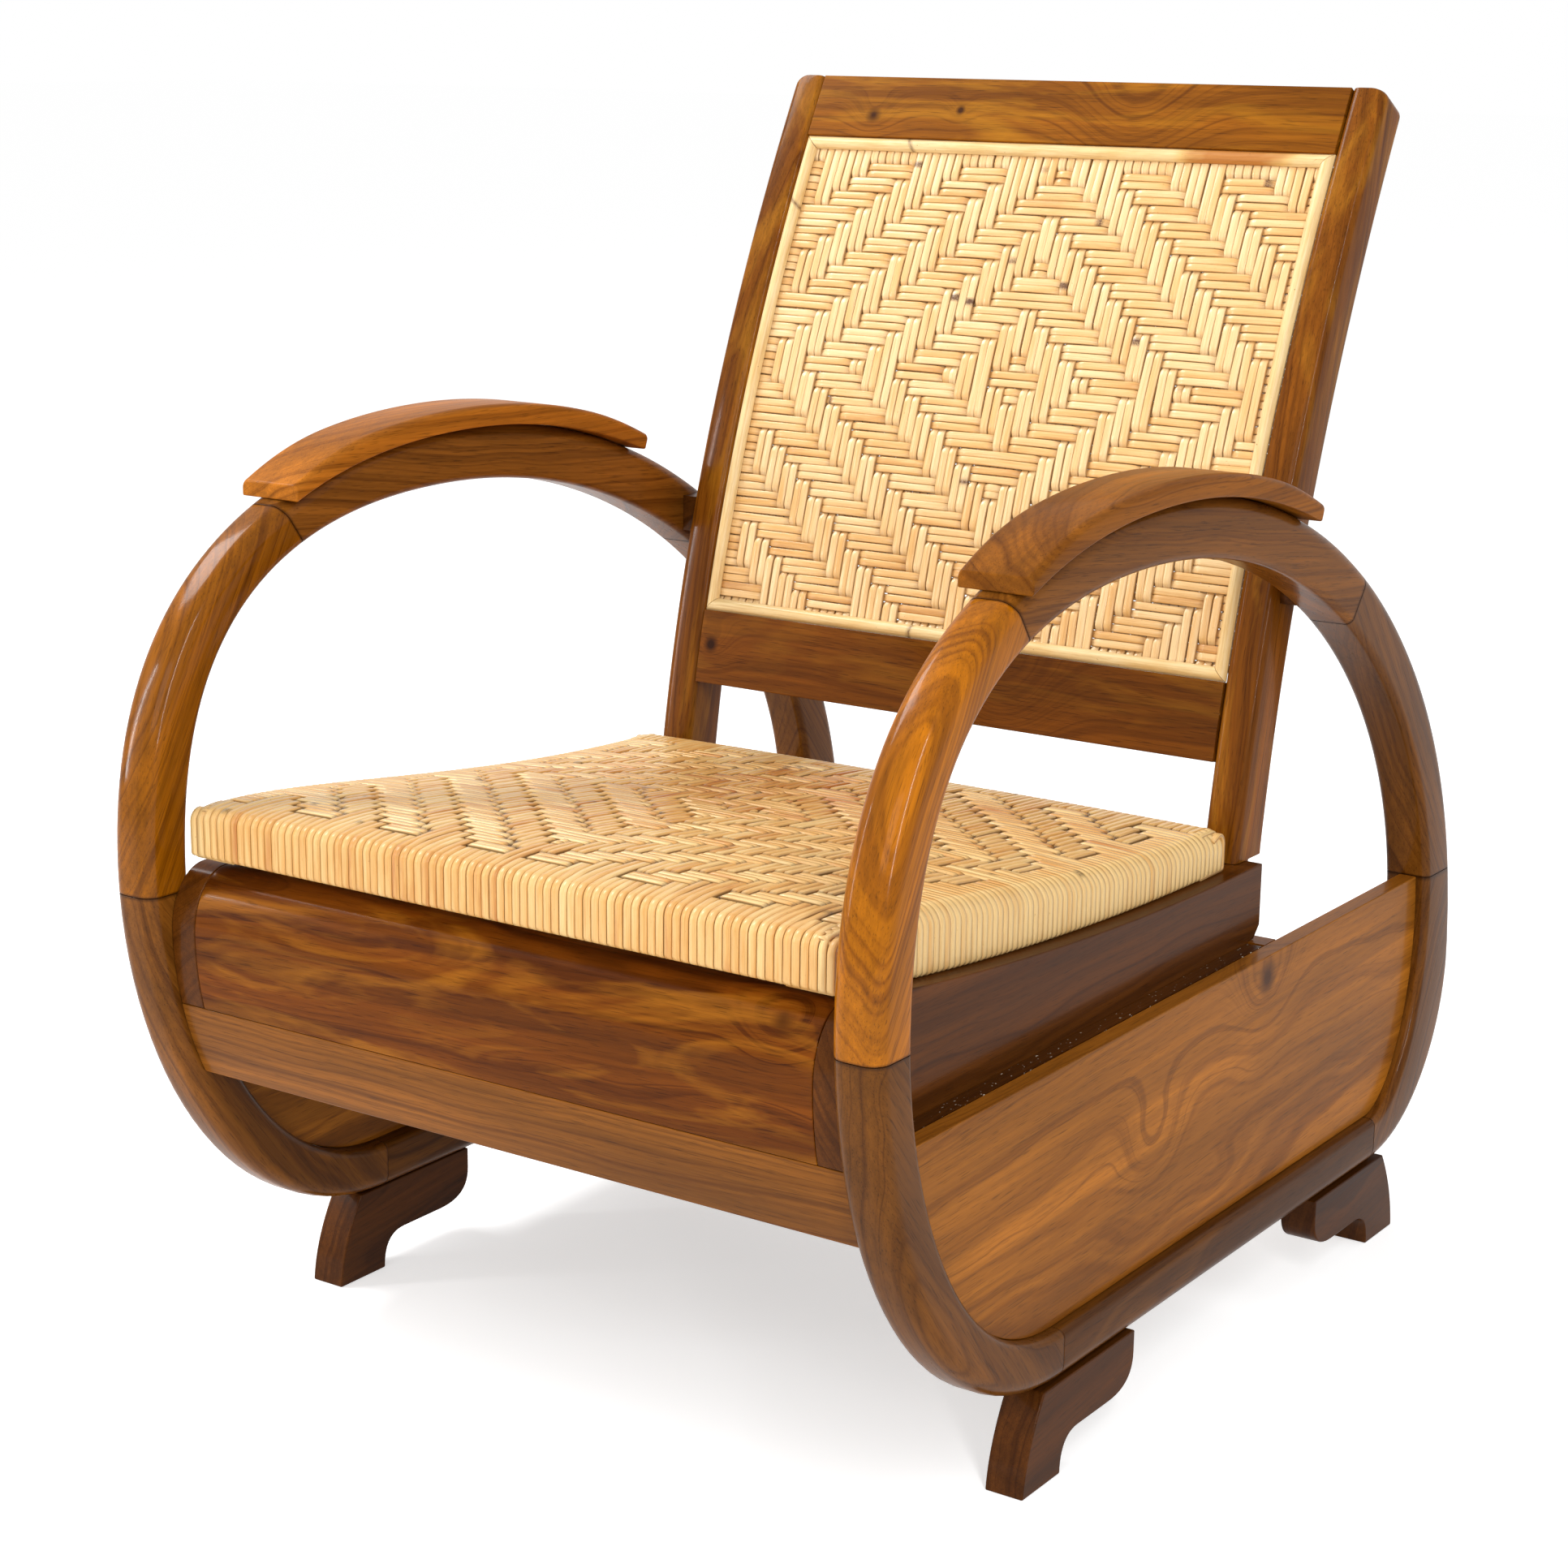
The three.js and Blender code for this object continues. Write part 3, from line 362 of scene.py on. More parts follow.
def wood(name, colour, grain, seed, pith, gloss=0.3, contrast=1.15, glaze=0.12, knots=(),
         scale=1.0, specks=0.0, gold=0.0):
    """Varnished hardwood: uneven growth lines round a pith beside the piece, fibres, pores and slow changes
    of tone. A knot is a place in metres, a radius and how dark it is, and bends the lines even at 0. Specks
    are dried glue, and gold is the strength of a pale figure."""
    material, tree, shader = nodes_of("wood_" + name)
    net = Net(tree)
    local = np.random.default_rng(seed)
    along = Vector(grain).normalized()
    side = Vector((1, 0, 0)) if abs(along.x) < 0.9 else Vector((0, 1, 0))
    side = (side - along * side.dot(along)).normalized()
    turn = Matrix((along, side, along.cross(side)))
    coordinates = net.add("ShaderNodeTexCoord").outputs["Object"]
    place = net.add("ShaderNodeMapping", {
        "Vector": coordinates,
        "Rotation": turn.to_euler(),
        "Location": (float(local.uniform(-1, 1)), pith[0], pith[1]),
    }).outputs[0]
    shift = float(local.uniform(0, 40))
    slow = net.vectors("MULTIPLY", place, (0.3, 1, 1))
    warp = net.noise(net.vectors("ADD", slow, (shift, 0, 0)), 7.0, 3.0, 0.55, output="Color")
    warped = net.vectors("ADD", slow, net.vectors("MULTIPLY", net.vectors("SUBTRACT", warp, (0.5, 0.5, 0.5)),
                                                   (0, 0.05, 0.05)))
    flat = net.vectors("MULTIPLY", warped, (0, 1, 1))
    radius = net.add("ShaderNodeVectorMath", {0: flat}, operation="LENGTH").outputs["Value"]
    knot_dark = 0.0
    for x, y, z, size, strength in knots:
        reach = net.add("ShaderNodeVectorMath", {0: coordinates, 1: (x, y, z)}, operation="DISTANCE")
        reach = reach.outputs["Value"]
        bell = net.maths("POWER", 2.718, net.times(-1.0, net.maths("POWER", net.maths(
            "DIVIDE", reach, size * 2.6), 2.0)))
        radius = net.maths("ADD", radius, net.times(bell, size * 2.2))
        core = net.maths("SUBTRACT", 1.0, net.maths("DIVIDE", reach, size), clamp=True)
        core = net.times(core, strength)
        knot_dark = net.maths("MAXIMUM", core, knot_dark)
    # Growth lines and veins by distance from the pith, then streaks, pores and patches along the grain
    lines = net.bands(net.times(radius, 170.0 * scale), 4.0, 0.62)
    veins = net.bands(net.maths("ADD", net.times(radius, 62.0 * scale), shift), 1.0)
    fibre = net.noise(net.vectors("MULTIPLY", place, (7, 300, 300)), 1.0, 3.0, 0.65)
    drawn = net.vectors("MULTIPLY", place, (1.8, 40, 40))
    streak = net.noise(net.vectors("ADD", drawn, (shift, 3, 0)), 1.0, 3.0)
    pore = net.noise(net.vectors("MULTIPLY", place, (55, 1500, 1500)), 1.0, 1.0)
    drawn = net.vectors("MULTIPLY", place, (3.5, 12, 12))
    patch = net.noise(net.vectors("ADD", drawn, (0, shift, 5)), 1.0, 2.0)
    # The colour, from slow changes to fine ones
    red, green, blue = colour
    light = (min(1, red * 1.30), min(1, green * 1.28), blue * 1.25)
    dark = (red * 0.36, green * 0.30, blue * 0.26)
    base = net.blend("MIX", net.ramp(patch, [(0.30, 0.0), (0.70, 1.0)]), scaled(colour, 0.80), light)
    base = net.blend("MIX", net.ramp(streak, [(0.34, 0.55 * contrast), (0.62, 0.0)]), base,
                     scaled(colour, 0.52))
    base = net.blend("MIX", net.ramp(lines, [(0.32, 0.55 * contrast), (0.50, 0.12), (0.64, 0.0)]), base, dark)
    base = net.blend("MIX", net.ramp(veins, [(0.480, 0.0), (0.498, 0.5 * contrast), (0.504, 0.35 * contrast),
                                             (0.525, 0.0)]), base, dark)
    if gold:
        bent = net.vectors("ADD", net.vectors("MULTIPLY", place, (5, 26, 26)), (7, 0, shift))
        wave = net.noise(bent, 1.0, 3.0, 0.6, 1.4)
        shine = (min(1, red * 2.0), min(1, green * 2.7), blue * 3)
        base = net.blend("MIX", net.ramp(wave, [(0.50, 0.0), (0.68, gold)]), base, shine)
    base = net.blend("MULTIPLY", 0.6, base, net.ramp(fibre, [(0.3, 0.62), (0.7, 1.2)]))
    base = net.blend("MULTIPLY", 0.6, base, net.ramp(pore, [(0.30, 0.35), (0.40, 1.0)]))
    if knots:
        base = net.blend("MIX", net.times(knot_dark, 1.5, clamp=True), base, scaled(dark, 0.45))
    edge = net.attribute("edge")
    base = net.blend("MIX", net.times(edge, 0.85), base, scaled(dark, 0.4))
    if specks:
        glue = net.noise(net.vectors("MULTIPLY", coordinates, (500, 230, 500)), 1.0, 2.0)
        base = net.blend("MIX", net.ramp(glue, [(0.70 - specks, 0.0), (0.73 - specks, 0.9)]), base,
                         (0.7, 0.62, 0.5))
    rough = net.maths("ADD", net.times(fibre, 0.18), gloss - 0.05)
    height = net.maths("ADD", net.times(fibre, 0.6), net.times(pore, 0.5))
    surface(net, shader, base, rough, 0.03, glaze, 0.11, 0.18, 0.0006, height)
    return material


def rattan(name, pale, tan, brown, gloss=0.40, coat=0.15, edge_shade_share=0.65, darkening=(0.12, 0.045, 0.014)):
    """Peeled cane: pale skin with fibres along it, tinted strand by strand, with dark marks at its nodes,
    painted shade along its long edges and painted shade where it dives under.
    """
    material, tree, shader = nodes_of(name)
    net = Net(tree)
    strand = net.attribute("strand", "Vector")
    side = net.add("ShaderNodeSeparateXYZ", {0: strand}).outputs["Y"]
    # Painted shade: each strand darkens toward brown along its long edges, where its neighbours shade it.
    painted_edge_shade = net.ramp(net.maths("ABSOLUTE", net.times(side, 4.0)), [(0.84, 0.0), (0.96, edge_shade_share)])
    tint = net.attribute("tint")
    mark_and_shade = net.attribute("mark_and_shade")
    fibre = net.noise(net.vectors("MULTIPLY", strand, (25, 26, 300)), 1.0, 3.0, 0.7)
    patch = net.noise(net.vectors("MULTIPLY", strand, (16, 2, 170)), 1.0, 3.0, 0.6)
    speck = net.noise(net.vectors("MULTIPLY", strand, (380, 14, 90)), 1.0, 2.0, 0.5)
    share = net.maths("ADD", tint, net.times(net.maths("SUBTRACT", patch, 0.5), 1.3), clamp=True)
    base = net.ramp(share, [(0.0, pale), (0.55, tan), (1.0, brown)])
    base = net.blend("MULTIPLY", 0.75, base, net.ramp(fibre, [(0.30, (0.74, 0.62, 0.46)), (0.55, 1.0)]))
    base = net.blend("MULTIPLY", 0.8, base, net.ramp(speck, [(0.20, (0.42, 0.27, 0.13)), (0.28, 1.0)]))
    base = net.blend("MIX", painted_edge_shade, base, (0.30, 0.145, 0.045))
    # Painted shade: besides the dark nodes, this mix darkens strands where they dive under their neighbours.
    ragged = net.noise(net.vectors("MULTIPLY", strand, (900, 14, 90)), 1.0, 2.0)
    ragged = net.maths("ADD", net.times(ragged, -1.6), 1.75)
    ragged = net.times(mark_and_shade, ragged, clamp=True)
    base = net.blend("MIX", ragged, base, darkening)
    rough = net.maths("ADD", net.times(fibre, 0.25), gloss - 0.12)
    surface(net, shader, base, rough, 0.3, coat, 0.15, 0.35, 0.0004, fibre)
    return material


BRIGHT = srgb(184, 108, 10)
BROWN = srgb(116, 69, 20)
PAD = srgb(146, 86, 22)
PANEL = srgb(172, 105, 30)
PLANK = srgb(120, 62, 10)
LOWER_PLANK = srgb(140, 84, 26)
TOP_RAIL_WOOD = srgb(147, 85, 13)
POST_WOOD = srgb(132, 74, 14)
LOWER_RAIL_WOOD = srgb(112, 61, 10)
RAIL_WOOD = srgb(96, 52, 12)
FOOT = srgb(88, 48, 14)
DARK = srgb(80, 44, 14)
SAWN = srgb(150, 108, 66)

SIDES = (("left", 1), ("right", -1))


def direction(a, b):
    return (0, (b - a).real, (b - a).imag)


# Hoops, rounder outside than inside
HOOP_ROUNDS = (6, 12)


def hoop_ring(sign, outer_point, inner_point):
    out = outer_point - inner_point
    length = abs(out)
    out /= length
    ring = []
    for side, along in rounded_section(HOOP_THICKNESS, length, *HOOP_ROUNDS):
        point = inner_point + out * along
        ring.append((sign * (HOOP_MIDDLE + side), point.real, point.imag))
    return ring


# Name, first and last seam, colour and how light it is, slot, steps
members = [
    ("front_lower", "heel", "front", BROWN, 0.95, "hoop_wood", 26),
    ("front_upper", "front", "front_top", BRIGHT, 1.0, "hoop_wood_bright", 30),
    ("top", "front_top", "rear_top", BROWN, 1.4, "hoop_wood", 48),
    ("rear_upper", "rear_top", "rear", BROWN, 1.15, "hoop_wood", 30),
    ("rear_lower", "rear", "calf", BROWN, 1.05, "hoop_wood", 24),
]
# The far hoop's front members are set darker above and lighter below than the near one's, and some members
# shine more or less than the rest
FAR_LEVELS = {"front_upper": 0.60, "front_lower": 1.25}
GLAZES = {"front_upper": 0.2, "top": 0.1}
for side, sign in SIDES:
    for number, (name, start, end, colour, level, slot, steps) in enumerate(members):
        first, last = seams[start][1], seams[end][0]
        rings = []
        shares = [0, 0.006] + evenly(0, 1, steps)[1:-1] + [0.994, 1]
        for share in shares:
            places = [a + (b - a) * share for a, b in zip(first, last)]
            rings.append(hoop_ring(sign, outer(places[0]), inner(places[1])))
        edge = np.repeat([1.0 if share in (0, 1) else 0.0 for share in shares], len(rings[0]))
        way = direction((outer(first[0]) + inner(first[1])) / 2, (outer(last[0]) + inner(last[1])) / 2)
        seed = 10 + number + (20 if sign < 0 else 0)
        if sign < 0:
            level *= FAR_LEVELS.get(name, 1.0)
        grain = wood(f"{name}_{side}", scaled(colour, level), way, seed,
                     pith=(0.05 + 0.012 * number, 0.04 + 0.01 * number), gloss=0.26,
                     glaze=GLAZES.get(name, 0.16))
        loft(f"hoop_member_{name}_{side}", rings, grain, node=f"hoop_{name}_{side}",
             slot=slot, bevel=0.4, extra={"edge": edge})
    setbacks = (RAIL_SETBACK + GAP, RAIL_END_SETBACK - GAP)
    rings = [hoop_ring(sign, at(value, FLAT_BOTTOM), at(value, FLAT_TOP))
             for value in evenly(*setbacks, 12)]
    grain = wood(f"bottom_rail_{side}", scaled(BROWN, 0.9), (0, 1, 0), 18 + sign,
                 pith=(0.06, 0.05))
    loft(f"hoop_member_bottom_{side}", rings, grain, node=f"hoop_bottom_rail_{side}",
         slot="hoop_wood", bevel=0.5)

# Side panels, in the hollows of the hoops
for side, sign in SIDES:
    front = [beside(inner, place, GAP) for place in evenly(0, seams["front"][0][1], 40)]
    above = next(k for k, point in enumerate(front) if point.imag > BOX_LEVEL)
    low, high = front[above - 1], front[above]
    corner = low + (high - low) * (BOX_LEVEL - low.imag) / (high.imag - low.imag)
    rear = [beside(inner, place, GAP) for place in evenly(seams["rear"][1][1], 4, 30)]
    rear[0] = complex(rear[0].real, BOX_LEVEL)
    shape = front[:above] + [corner] + rear
    grain = wood(f"panel_{side}", PANEL, (0, 1, 0.03), 41 + sign, pith=(0.02, 0.03), scale=0.7,
                 contrast=1.05, gloss=0.36, knots=[
                     (sign * 0.2975, 0.105, 0.262, 0.016, 0.9), (sign * 0.2975, -0.06, 0.2, 0.014, 0.0)])
    plate(f"panel_{side}", shape, (sign * PANEL_INNER, sign * PANEL_OUTER), grain,
          node=f"side_panel_{side}", slot="panel_wood", bevel=0.8)

# Arm pads, which thin out toward their ends over this length
PAD_TAPER = 80
PAD_START_THIN, PAD_END_THIN = 10.5, 12.5


def pad_height(way, thin):
    return thin + (PAD_HEIGHT - thin) * math.sin(min(1, abs(way) / PAD_TAPER) * math.pi / 2)


for side, sign in SIDES:
    start_place, end_place = seams["front_top"][1][0], seams["rear_top"][0][0]
    start = beside(outer, start_place, -GAP)
    cut_y, end_y = start.real + 6, FRONT_Y + PAD_END_SETBACK
    last_place = root(lambda p: beside(outer, p, -GAP).real - end_y, start_place, end_place)
    end = beside(outer, last_place, -GAP)
    rings = []
    steps = 56
    for k in range(steps + 1):
        share = k / steps
        base_place = start_place + (last_place - start_place) * share
        point = beside(outer, base_place, -GAP)
        height = min(pad_height(point - start, PAD_START_THIN), pad_height(point - end, PAD_END_THIN))
        ring = []
        for across, rise in rounded_section(PAD_WIDTH, height, 1.5, 5):
            lift = -(GAP + rise)
            first = root(lambda p: beside(outer, p, lift).real - cut_y, start_place - 0.2, start_place + 0.3)
            point_up = beside(outer, first + (last_place - first) * share, lift)
            ring.append((sign * (HOOP_MIDDLE + across), point_up.real, point_up.imag))
        rings.append(ring)
    grain = wood(f"pad_{side}", scaled(PAD, 1.0 if sign > 0 else 1.65), direction(start, end),
                 51 + sign, pith=(0.015, 0.08), gloss=0.34, glaze=0.06)
    loft(f"pad_{side}", rings, grain, node=f"arm_pad_{side}", slot="pad_wood", bevel=2.2)


# Seat box
def seat_low(y):
    return RAIL_REAR_HEIGHT + GAP + SEAT_RISE * ((SEAT_REAR_Y - y) / SEAT_DEPTH) ** 2


board_curve = [complex(BULGE_Y, BULGE_HEIGHT), complex(BULGE_Y, (BULGE_HEIGHT + BOX_BOTTOM) / 2),
               at(45, BOX_BOTTOM)]
board_top = complex(BULGE_Y + BULGE_ROUND, BOX_TOP)
board_round = cubic(board_curve[0], complex(BULGE_Y, BULGE_HEIGHT + ARC * (BOX_TOP - BULGE_HEIGHT)),
                    complex(board_top.real - ARC * BULGE_ROUND, BOX_TOP), board_top)


def board_lower(t):
    return (1 - t) ** 2 * board_curve[0] + 2 * (1 - t) * t * board_curve[1] + t * t * board_curve[2]


def board_front(bottom, steps=14):
    low = root(lambda t: board_lower(t).imag - bottom, 0, 1)
    return [board_lower(t) for t in evenly(low, 0, steps)] + [board_round(t) for t in evenly(0, 1, steps)[1:]]


upper = board_front(SEAM_HEIGHT + GAP)
plate("plank_upper", upper + [complex(BOARD_REAR_Y, BOX_TOP), complex(BOARD_REAR_Y, SEAM_HEIGHT + GAP)],
      (GAP - RAIL_INNER, RAIL_INNER - GAP),
      wood("plank_upper", PLANK, (1, 0, 0.03), 61, pith=(0.34, -0.27), scale=0.8, gloss=0.26, gold=0.6,
           knots=[(0.222, -0.396, 0.350, 0.010, 0.6)], contrast=1.5, glaze=0.08),
      node="front_plank_upper", slot="plank_wood", bevel=0.8)
low_t = root(lambda t: board_lower(t).imag - BOX_BOTTOM - 0.001, 0, 1)
seam_t = root(lambda t: board_lower(t).imag - SEAM_HEIGHT, 0, 1)
lower = [board_lower(t) for t in evenly(low_t, seam_t, 10)]
plate("plank_lower", lower + [complex(BOARD_REAR_Y, SEAM_HEIGHT), complex(lower[0].real + 22, lower[0].imag)],
      (-RAIL_OUTER, RAIL_OUTER),
      wood("plank_lower", LOWER_PLANK, (1, 0, 0), 63, pith=(0.30, -0.10), gloss=0.28),
      node="front_plank_lower", slot="plank_wood", bevel=0.8)

rail_rear_y = FRONT_Y + SEAT_RAIL_LENGTH
rest_y = SEAT_REAR_Y - SEAT_DEPTH * math.sqrt((BOX_TOP - RAIL_REAR_HEIGHT) / SEAT_RISE)
NOTCH = 9
rail_top = [complex(y, seat_low(y) - GAP) for y in evenly(rest_y, min(SEAT_REAR_Y, rail_rear_y - 40), 30)]
rail_shape = board_front(SEAM_HEIGHT + GAP) + rail_top + [
    complex(rail_rear_y, RAIL_REAR_HEIGHT), complex(rail_rear_y, BOX_LEVEL + GAP + NOTCH),
    complex(rail_rear_y - NOTCH, BOX_LEVEL + GAP), complex(CROSS_BOARD_Y - GAP, BOX_LEVEL + GAP),
    complex(CROSS_BOARD_Y - GAP, SEAM_HEIGHT + GAP)]
for side, sign in SIDES:
    grain = wood(f"rail_{side}", RAIL_WOOD, (0, 1, 0), 71 + sign, pith=(0.05, 0.07), contrast=0.9)
    plate(f"seat_rail_{side}", rail_shape, (sign * RAIL_INNER, sign * RAIL_OUTER), grain,
          node=f"seat_side_rail_{side}", slot="rail_wood", bevel=1.0)


# Back posts and rails, and the arm spacers
def post_depth(distance):
    return POST_FOOT_DEPTH + (POST_TOP_DEPTH - POST_FOOT_DEPTH) * distance / BACK_LENGTH


def post_ring(sign, distance, width, level=None):
    """A section square to the bow, or at one level."""
    ring = []
    for side, along in rounded_section(width, post_depth(distance), 6, 6):
        here = distance
        if level is not None:
            here = root(lambda d: on_back(d, along).imag - level, -20, BACK_LENGTH)
        point = on_back(here, along)
        if level is not None and here < 0:
            point = on_back(0, along)
            point += complex(0, level - point.imag)
        ring.append((sign * (POST_INNER + width / 2 + side), point.real, point.imag))
    return ring


for side, sign in SIDES:
    bend = BACK_LENGTH - POST_ROUND
    narrow = RAIL_INNER - GAP - POST_INNER
    rings = [post_ring(sign, 0, narrow, level=BOX_LEVEL + GAP),
             post_ring(sign, 40, narrow, level=RAIL_REAR_HEIGHT + GAP),
             post_ring(sign, 40, POST_WIDTH, level=RAIL_REAR_HEIGHT + GAP + 0.2)]
    rings += [post_ring(sign, v, POST_WIDTH) for v in evenly(back_at(345), bend, 40)]
    for turn in evenly(0, math.pi / 2, 8)[1:]:
        above = POST_ROUND * math.sin(turn)
        width = POST_WIDTH - POST_ROUND + math.sqrt(max(0.0, POST_ROUND ** 2 - above ** 2))
        rings.append(post_ring(sign, bend + above, width))
    grain = wood(f"post_{side}", POST_WOOD, (0, 0.25, 1), 81 + sign, pith=(0.03, 0.06), gloss=0.26,
                 gold=0.45)
    loft(f"post_{side}", rings, grain, node=f"back_post_{side}", slot="back_wood", bevel=1.2)


def back_band(low, high, front, depth, steps=12):
    distances = np.array(evenly(low, high, steps))
    return list(on_back(distances, front)) + list(on_back(distances, front + depth))[::-1]


rail_end = POST_INNER - 0.05
rail_knots = {"top": [(-0.0935, 0.3015, 0.849, 0.005, 1.0), (-0.1725, 0.2985, 0.8435, 0.008, 0.8),
                      (0.06, 0.3, 0.846, 0.02, 0.0)],
              "lower": [(-0.219, 0.1445, 0.4334, 0.008, 1.0), (0.05, 0.15, 0.43, 0.018, 0.0)]}
for name, span, seed, pith in (("top", TOP_RAIL, 91, (-0.28, -0.80)),
                               ("lower", LOWER_RAIL, 92, (-0.10, -0.38))):
    knots = rail_knots[name]
    colour, contrast = (TOP_RAIL_WOOD, 1.15) if name == "top" else (LOWER_RAIL_WOOD, 0.7)
    plate(f"rail_{name}", back_band(*span, 0, BACK_RAIL_DEPTH), (-rail_end, rail_end),
          wood(f"rail_{name}", colour, (1, 0, 0), seed, pith=pith, scale=0.8, gloss=0.27,
               contrast=contrast, knots=knots, gold=0.35),
          node=f"back_{name}_rail", slot="back_wood", bevel=0.6)

for name in ("left", "right"):
    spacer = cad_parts[f"arm_spacer_{name}"]
    spacer.data.materials.clear()
    spacer.data.materials.append(wood(f"spacer_{name}", DARK, (0, 1, 0), 97, pith=(0.04, 0.04)))
    soften(spacer, 1.0)


# Feet
def quadratic(a, b, c, steps=12):
    return [(1 - t) ** 2 * a + 2 * (1 - t) * t * b + t * t * c for t in evenly(0, 1, steps)]


foot_front = FRONT_Y + FOOT_SETBACK
toe, tail = foot_front - 25, foot_front + 122
heel = toe + 49
foot_shape = [complex(toe, 0)]
foot_shape += quadratic(complex(heel, 0), complex(heel, FOOT_ARCH), complex(heel + 22, FOOT_ARCH))
foot_shape += quadratic(complex(tail - 34, FOOT_ARCH), complex(tail, FOOT_ARCH),
                        complex(tail, FOOT_TOP - 16))
foot_shape += [complex(tail, FOOT_TOP)]
foot_shape += quadratic(complex(foot_front, FOOT_TOP), complex(foot_front - 22, FOOT_TOP / 2),
                        complex(toe, 0))[:-1]
middle_y = FRONT_Y + (RAIL_SETBACK + RAIL_END_SETBACK) / 2
for end in ("front", "rear"):
    for side, sign in SIDES:
        shape = foot_shape if end == "front" else [complex(2 * middle_y - p.real, p.imag) for p in foot_shape]
        grain = wood(f"foot_{end}_{side}", FOOT, (0, 1, 0.1), 101 + sign + (end == "rear") * 4,
                     pith=(0.03, 0.05), gloss=0.34)
        plate(f"foot_block_{end}_{side}", shape, (sign * FOOT_INNER, sign * FOOT_OUTER), grain,
              node=f"foot_{end}_{side}", slot="foot_wood", bevel=1.2)


# Strands: closed tubes of a flattened section that follow a line, several to a mesh. The powers make the
# section squarer than an ellipse.
SIDE_POWER, RISE_POWER = 0.45, 0.4


class Strands:
    def __init__(self, sides):
        self.sides = sides
        angles = (np.arange(sides) + (0.5 if sides == 8 else 0.0)) * 2 * math.pi / sides
        c, s = np.cos(angles), np.sin(angles)
        self.side, self.rise = np.sign(c) * np.abs(c) ** SIDE_POWER, np.sign(s) * np.abs(s) ** RISE_POWER
        self.points, self.faces = [], []
        self.strand, self.tint, self.mark_and_shade = [], [], []
        self.count = 0

    def add(self, line, lateral, width, thickness, tint, mark_and_shade=None):
        line = np.asarray(line, float)
        size = len(line)
        tangent = np.gradient(line, axis=0)
        tangent /= np.linalg.norm(tangent, axis=1)[:, None]
        lateral = np.broadcast_to(np.asarray(lateral, float), line.shape)
        normal = np.cross(tangent, lateral)
        normal /= np.linalg.norm(normal, axis=1)[:, None]
        across = np.cross(normal, tangent)
        width = np.broadcast_to(width, (size,))
        thickness = np.broadcast_to(thickness, (size,))
        c, s = self.side, self.rise
        ring = (line[:, None, :] + across[:, None, :] * (c[None, :] * width[:, None] / 2)[..., None]
                + normal[:, None, :] * (s[None, :] * thickness[:, None] / 2)[..., None])
        length = np.concatenate([[0], np.cumsum(np.linalg.norm(np.diff(line, axis=0), axis=1))])
        seed = rng.uniform(0, 1)
        strand = np.stack(np.broadcast_arrays(length[:, None] * MM + seed, c[None, :] / 4, seed), -1)
        self.points.append(ring.reshape(-1, 3))
        self.strand.append(strand.reshape(-1, 3))
        tint = np.broadcast_to(tint, (size,))
        self.tint.append(np.repeat(tint, self.sides))
        self.mark_and_shade.append(np.repeat(np.zeros(size) if mark_and_shade is None else mark_and_shade, self.sides))
        self.faces += [tuple(self.count + k for k in face) for face in loft_faces(size, self.sides)]
        self.count += size * self.sides

    def build(self, name, material, **options):
        extra = {
            "strand": np.concatenate(self.strand),
            "tint": np.concatenate(self.tint),
            "mark_and_shade": np.concatenate(self.mark_and_shade),
        }
        make(name, np.concatenate(self.points), self.faces, material, angle=180, extra=extra, **options)


# How low a strand is at the middle of its change from over to under, between 1 and -1, and the share of
# a cell that the change takes on either side
LOW_CROSSING = -0.45
TURN = 0.45


def weave_profile(signs, per):
    """Heights along a strand, from 1 over to -1 under, at evenly spaced samples in each cell."""
    signs = np.asarray(signs, float)
    cells = len(signs)
    place = (np.arange(cells * per) + 0.5) / per
    cell = np.minimum(place.astype(int), cells - 1)
    t = place - cell
    before = signs[np.maximum(cell - 1, 0)]
    after = signs[np.minimum(cell + 1, cells - 1)]
    here = signs[cell]
    height = here.copy()
    for edge, other in ((t, before), (1 - t, after)):
        near = (edge < TURN) & (other != here)
        rise = np.sin(edge[near] / TURN * math.pi / 2)
        height[near] = LOW_CROSSING + (here[near] - LOW_CROSSING) * rise
    return place, height


def tint_for(middle, spread):
    return float(unit(rng.normal(middle, spread)))


def marks(x, y, places, reach):
    """Darkness of the nodes at each point, from 0 to 1, which fades a little past their reach."""
    along = np.hypot(x[:, None] - places[None, :, 0], y[:, None] - places[None, :, 1])
    return unit(1.25 * np.exp(-((along / reach) ** 4)).max(axis=1))


# Back weave: pairs of strands in a twill of concentric diamonds, by x and by distance v up the bow. First
# the middle of the diamonds, then the pitch of the pairs, and how far a strand lies from its pair's middle.
BACK_X, BACK_V = 9.7, 390.0
PITCH_X, PITCH_V = 14.2, 12.45
PAIR_X, PAIR_V = 3.5, 3.05
columns, rows = range(-15, 15), range(-15, 14)
# Points along a strand in each cell
PER = 5
THIN = 3.3
MIDDLE_DEPTH, WAVE = 8.4, 1.85
NODE_REACH = 2.7


def back_over(i, j):
    """True where the strands that run across show, False where those that run up show."""
    if not (rows[0] <= j <= rows[-1]):
        return False
    if not (columns[0] <= i <= columns[-1]):
        return True
    return (abs(i) + abs(j) + 1) % 6 < 3


def wander(count, amount, steps=9):
    knots = rng.normal(0, amount, steps)
    return np.interp(np.linspace(0, steps - 1, count), np.arange(steps), knots)


# Where the photo shows dark nodes in the cane, as x and distance up the bow
BACK_NODES = np.array([
    (-120, 558), (-118, 546), (-40, 560), (-5, 558), (181, 556), (-17, 483), (-57, 451), (-44, 448),
    (52, 517), (105, 427), (33, 466), (203, 483), (-17, 308), (88, 330), (-150, 360), (150, 395)])


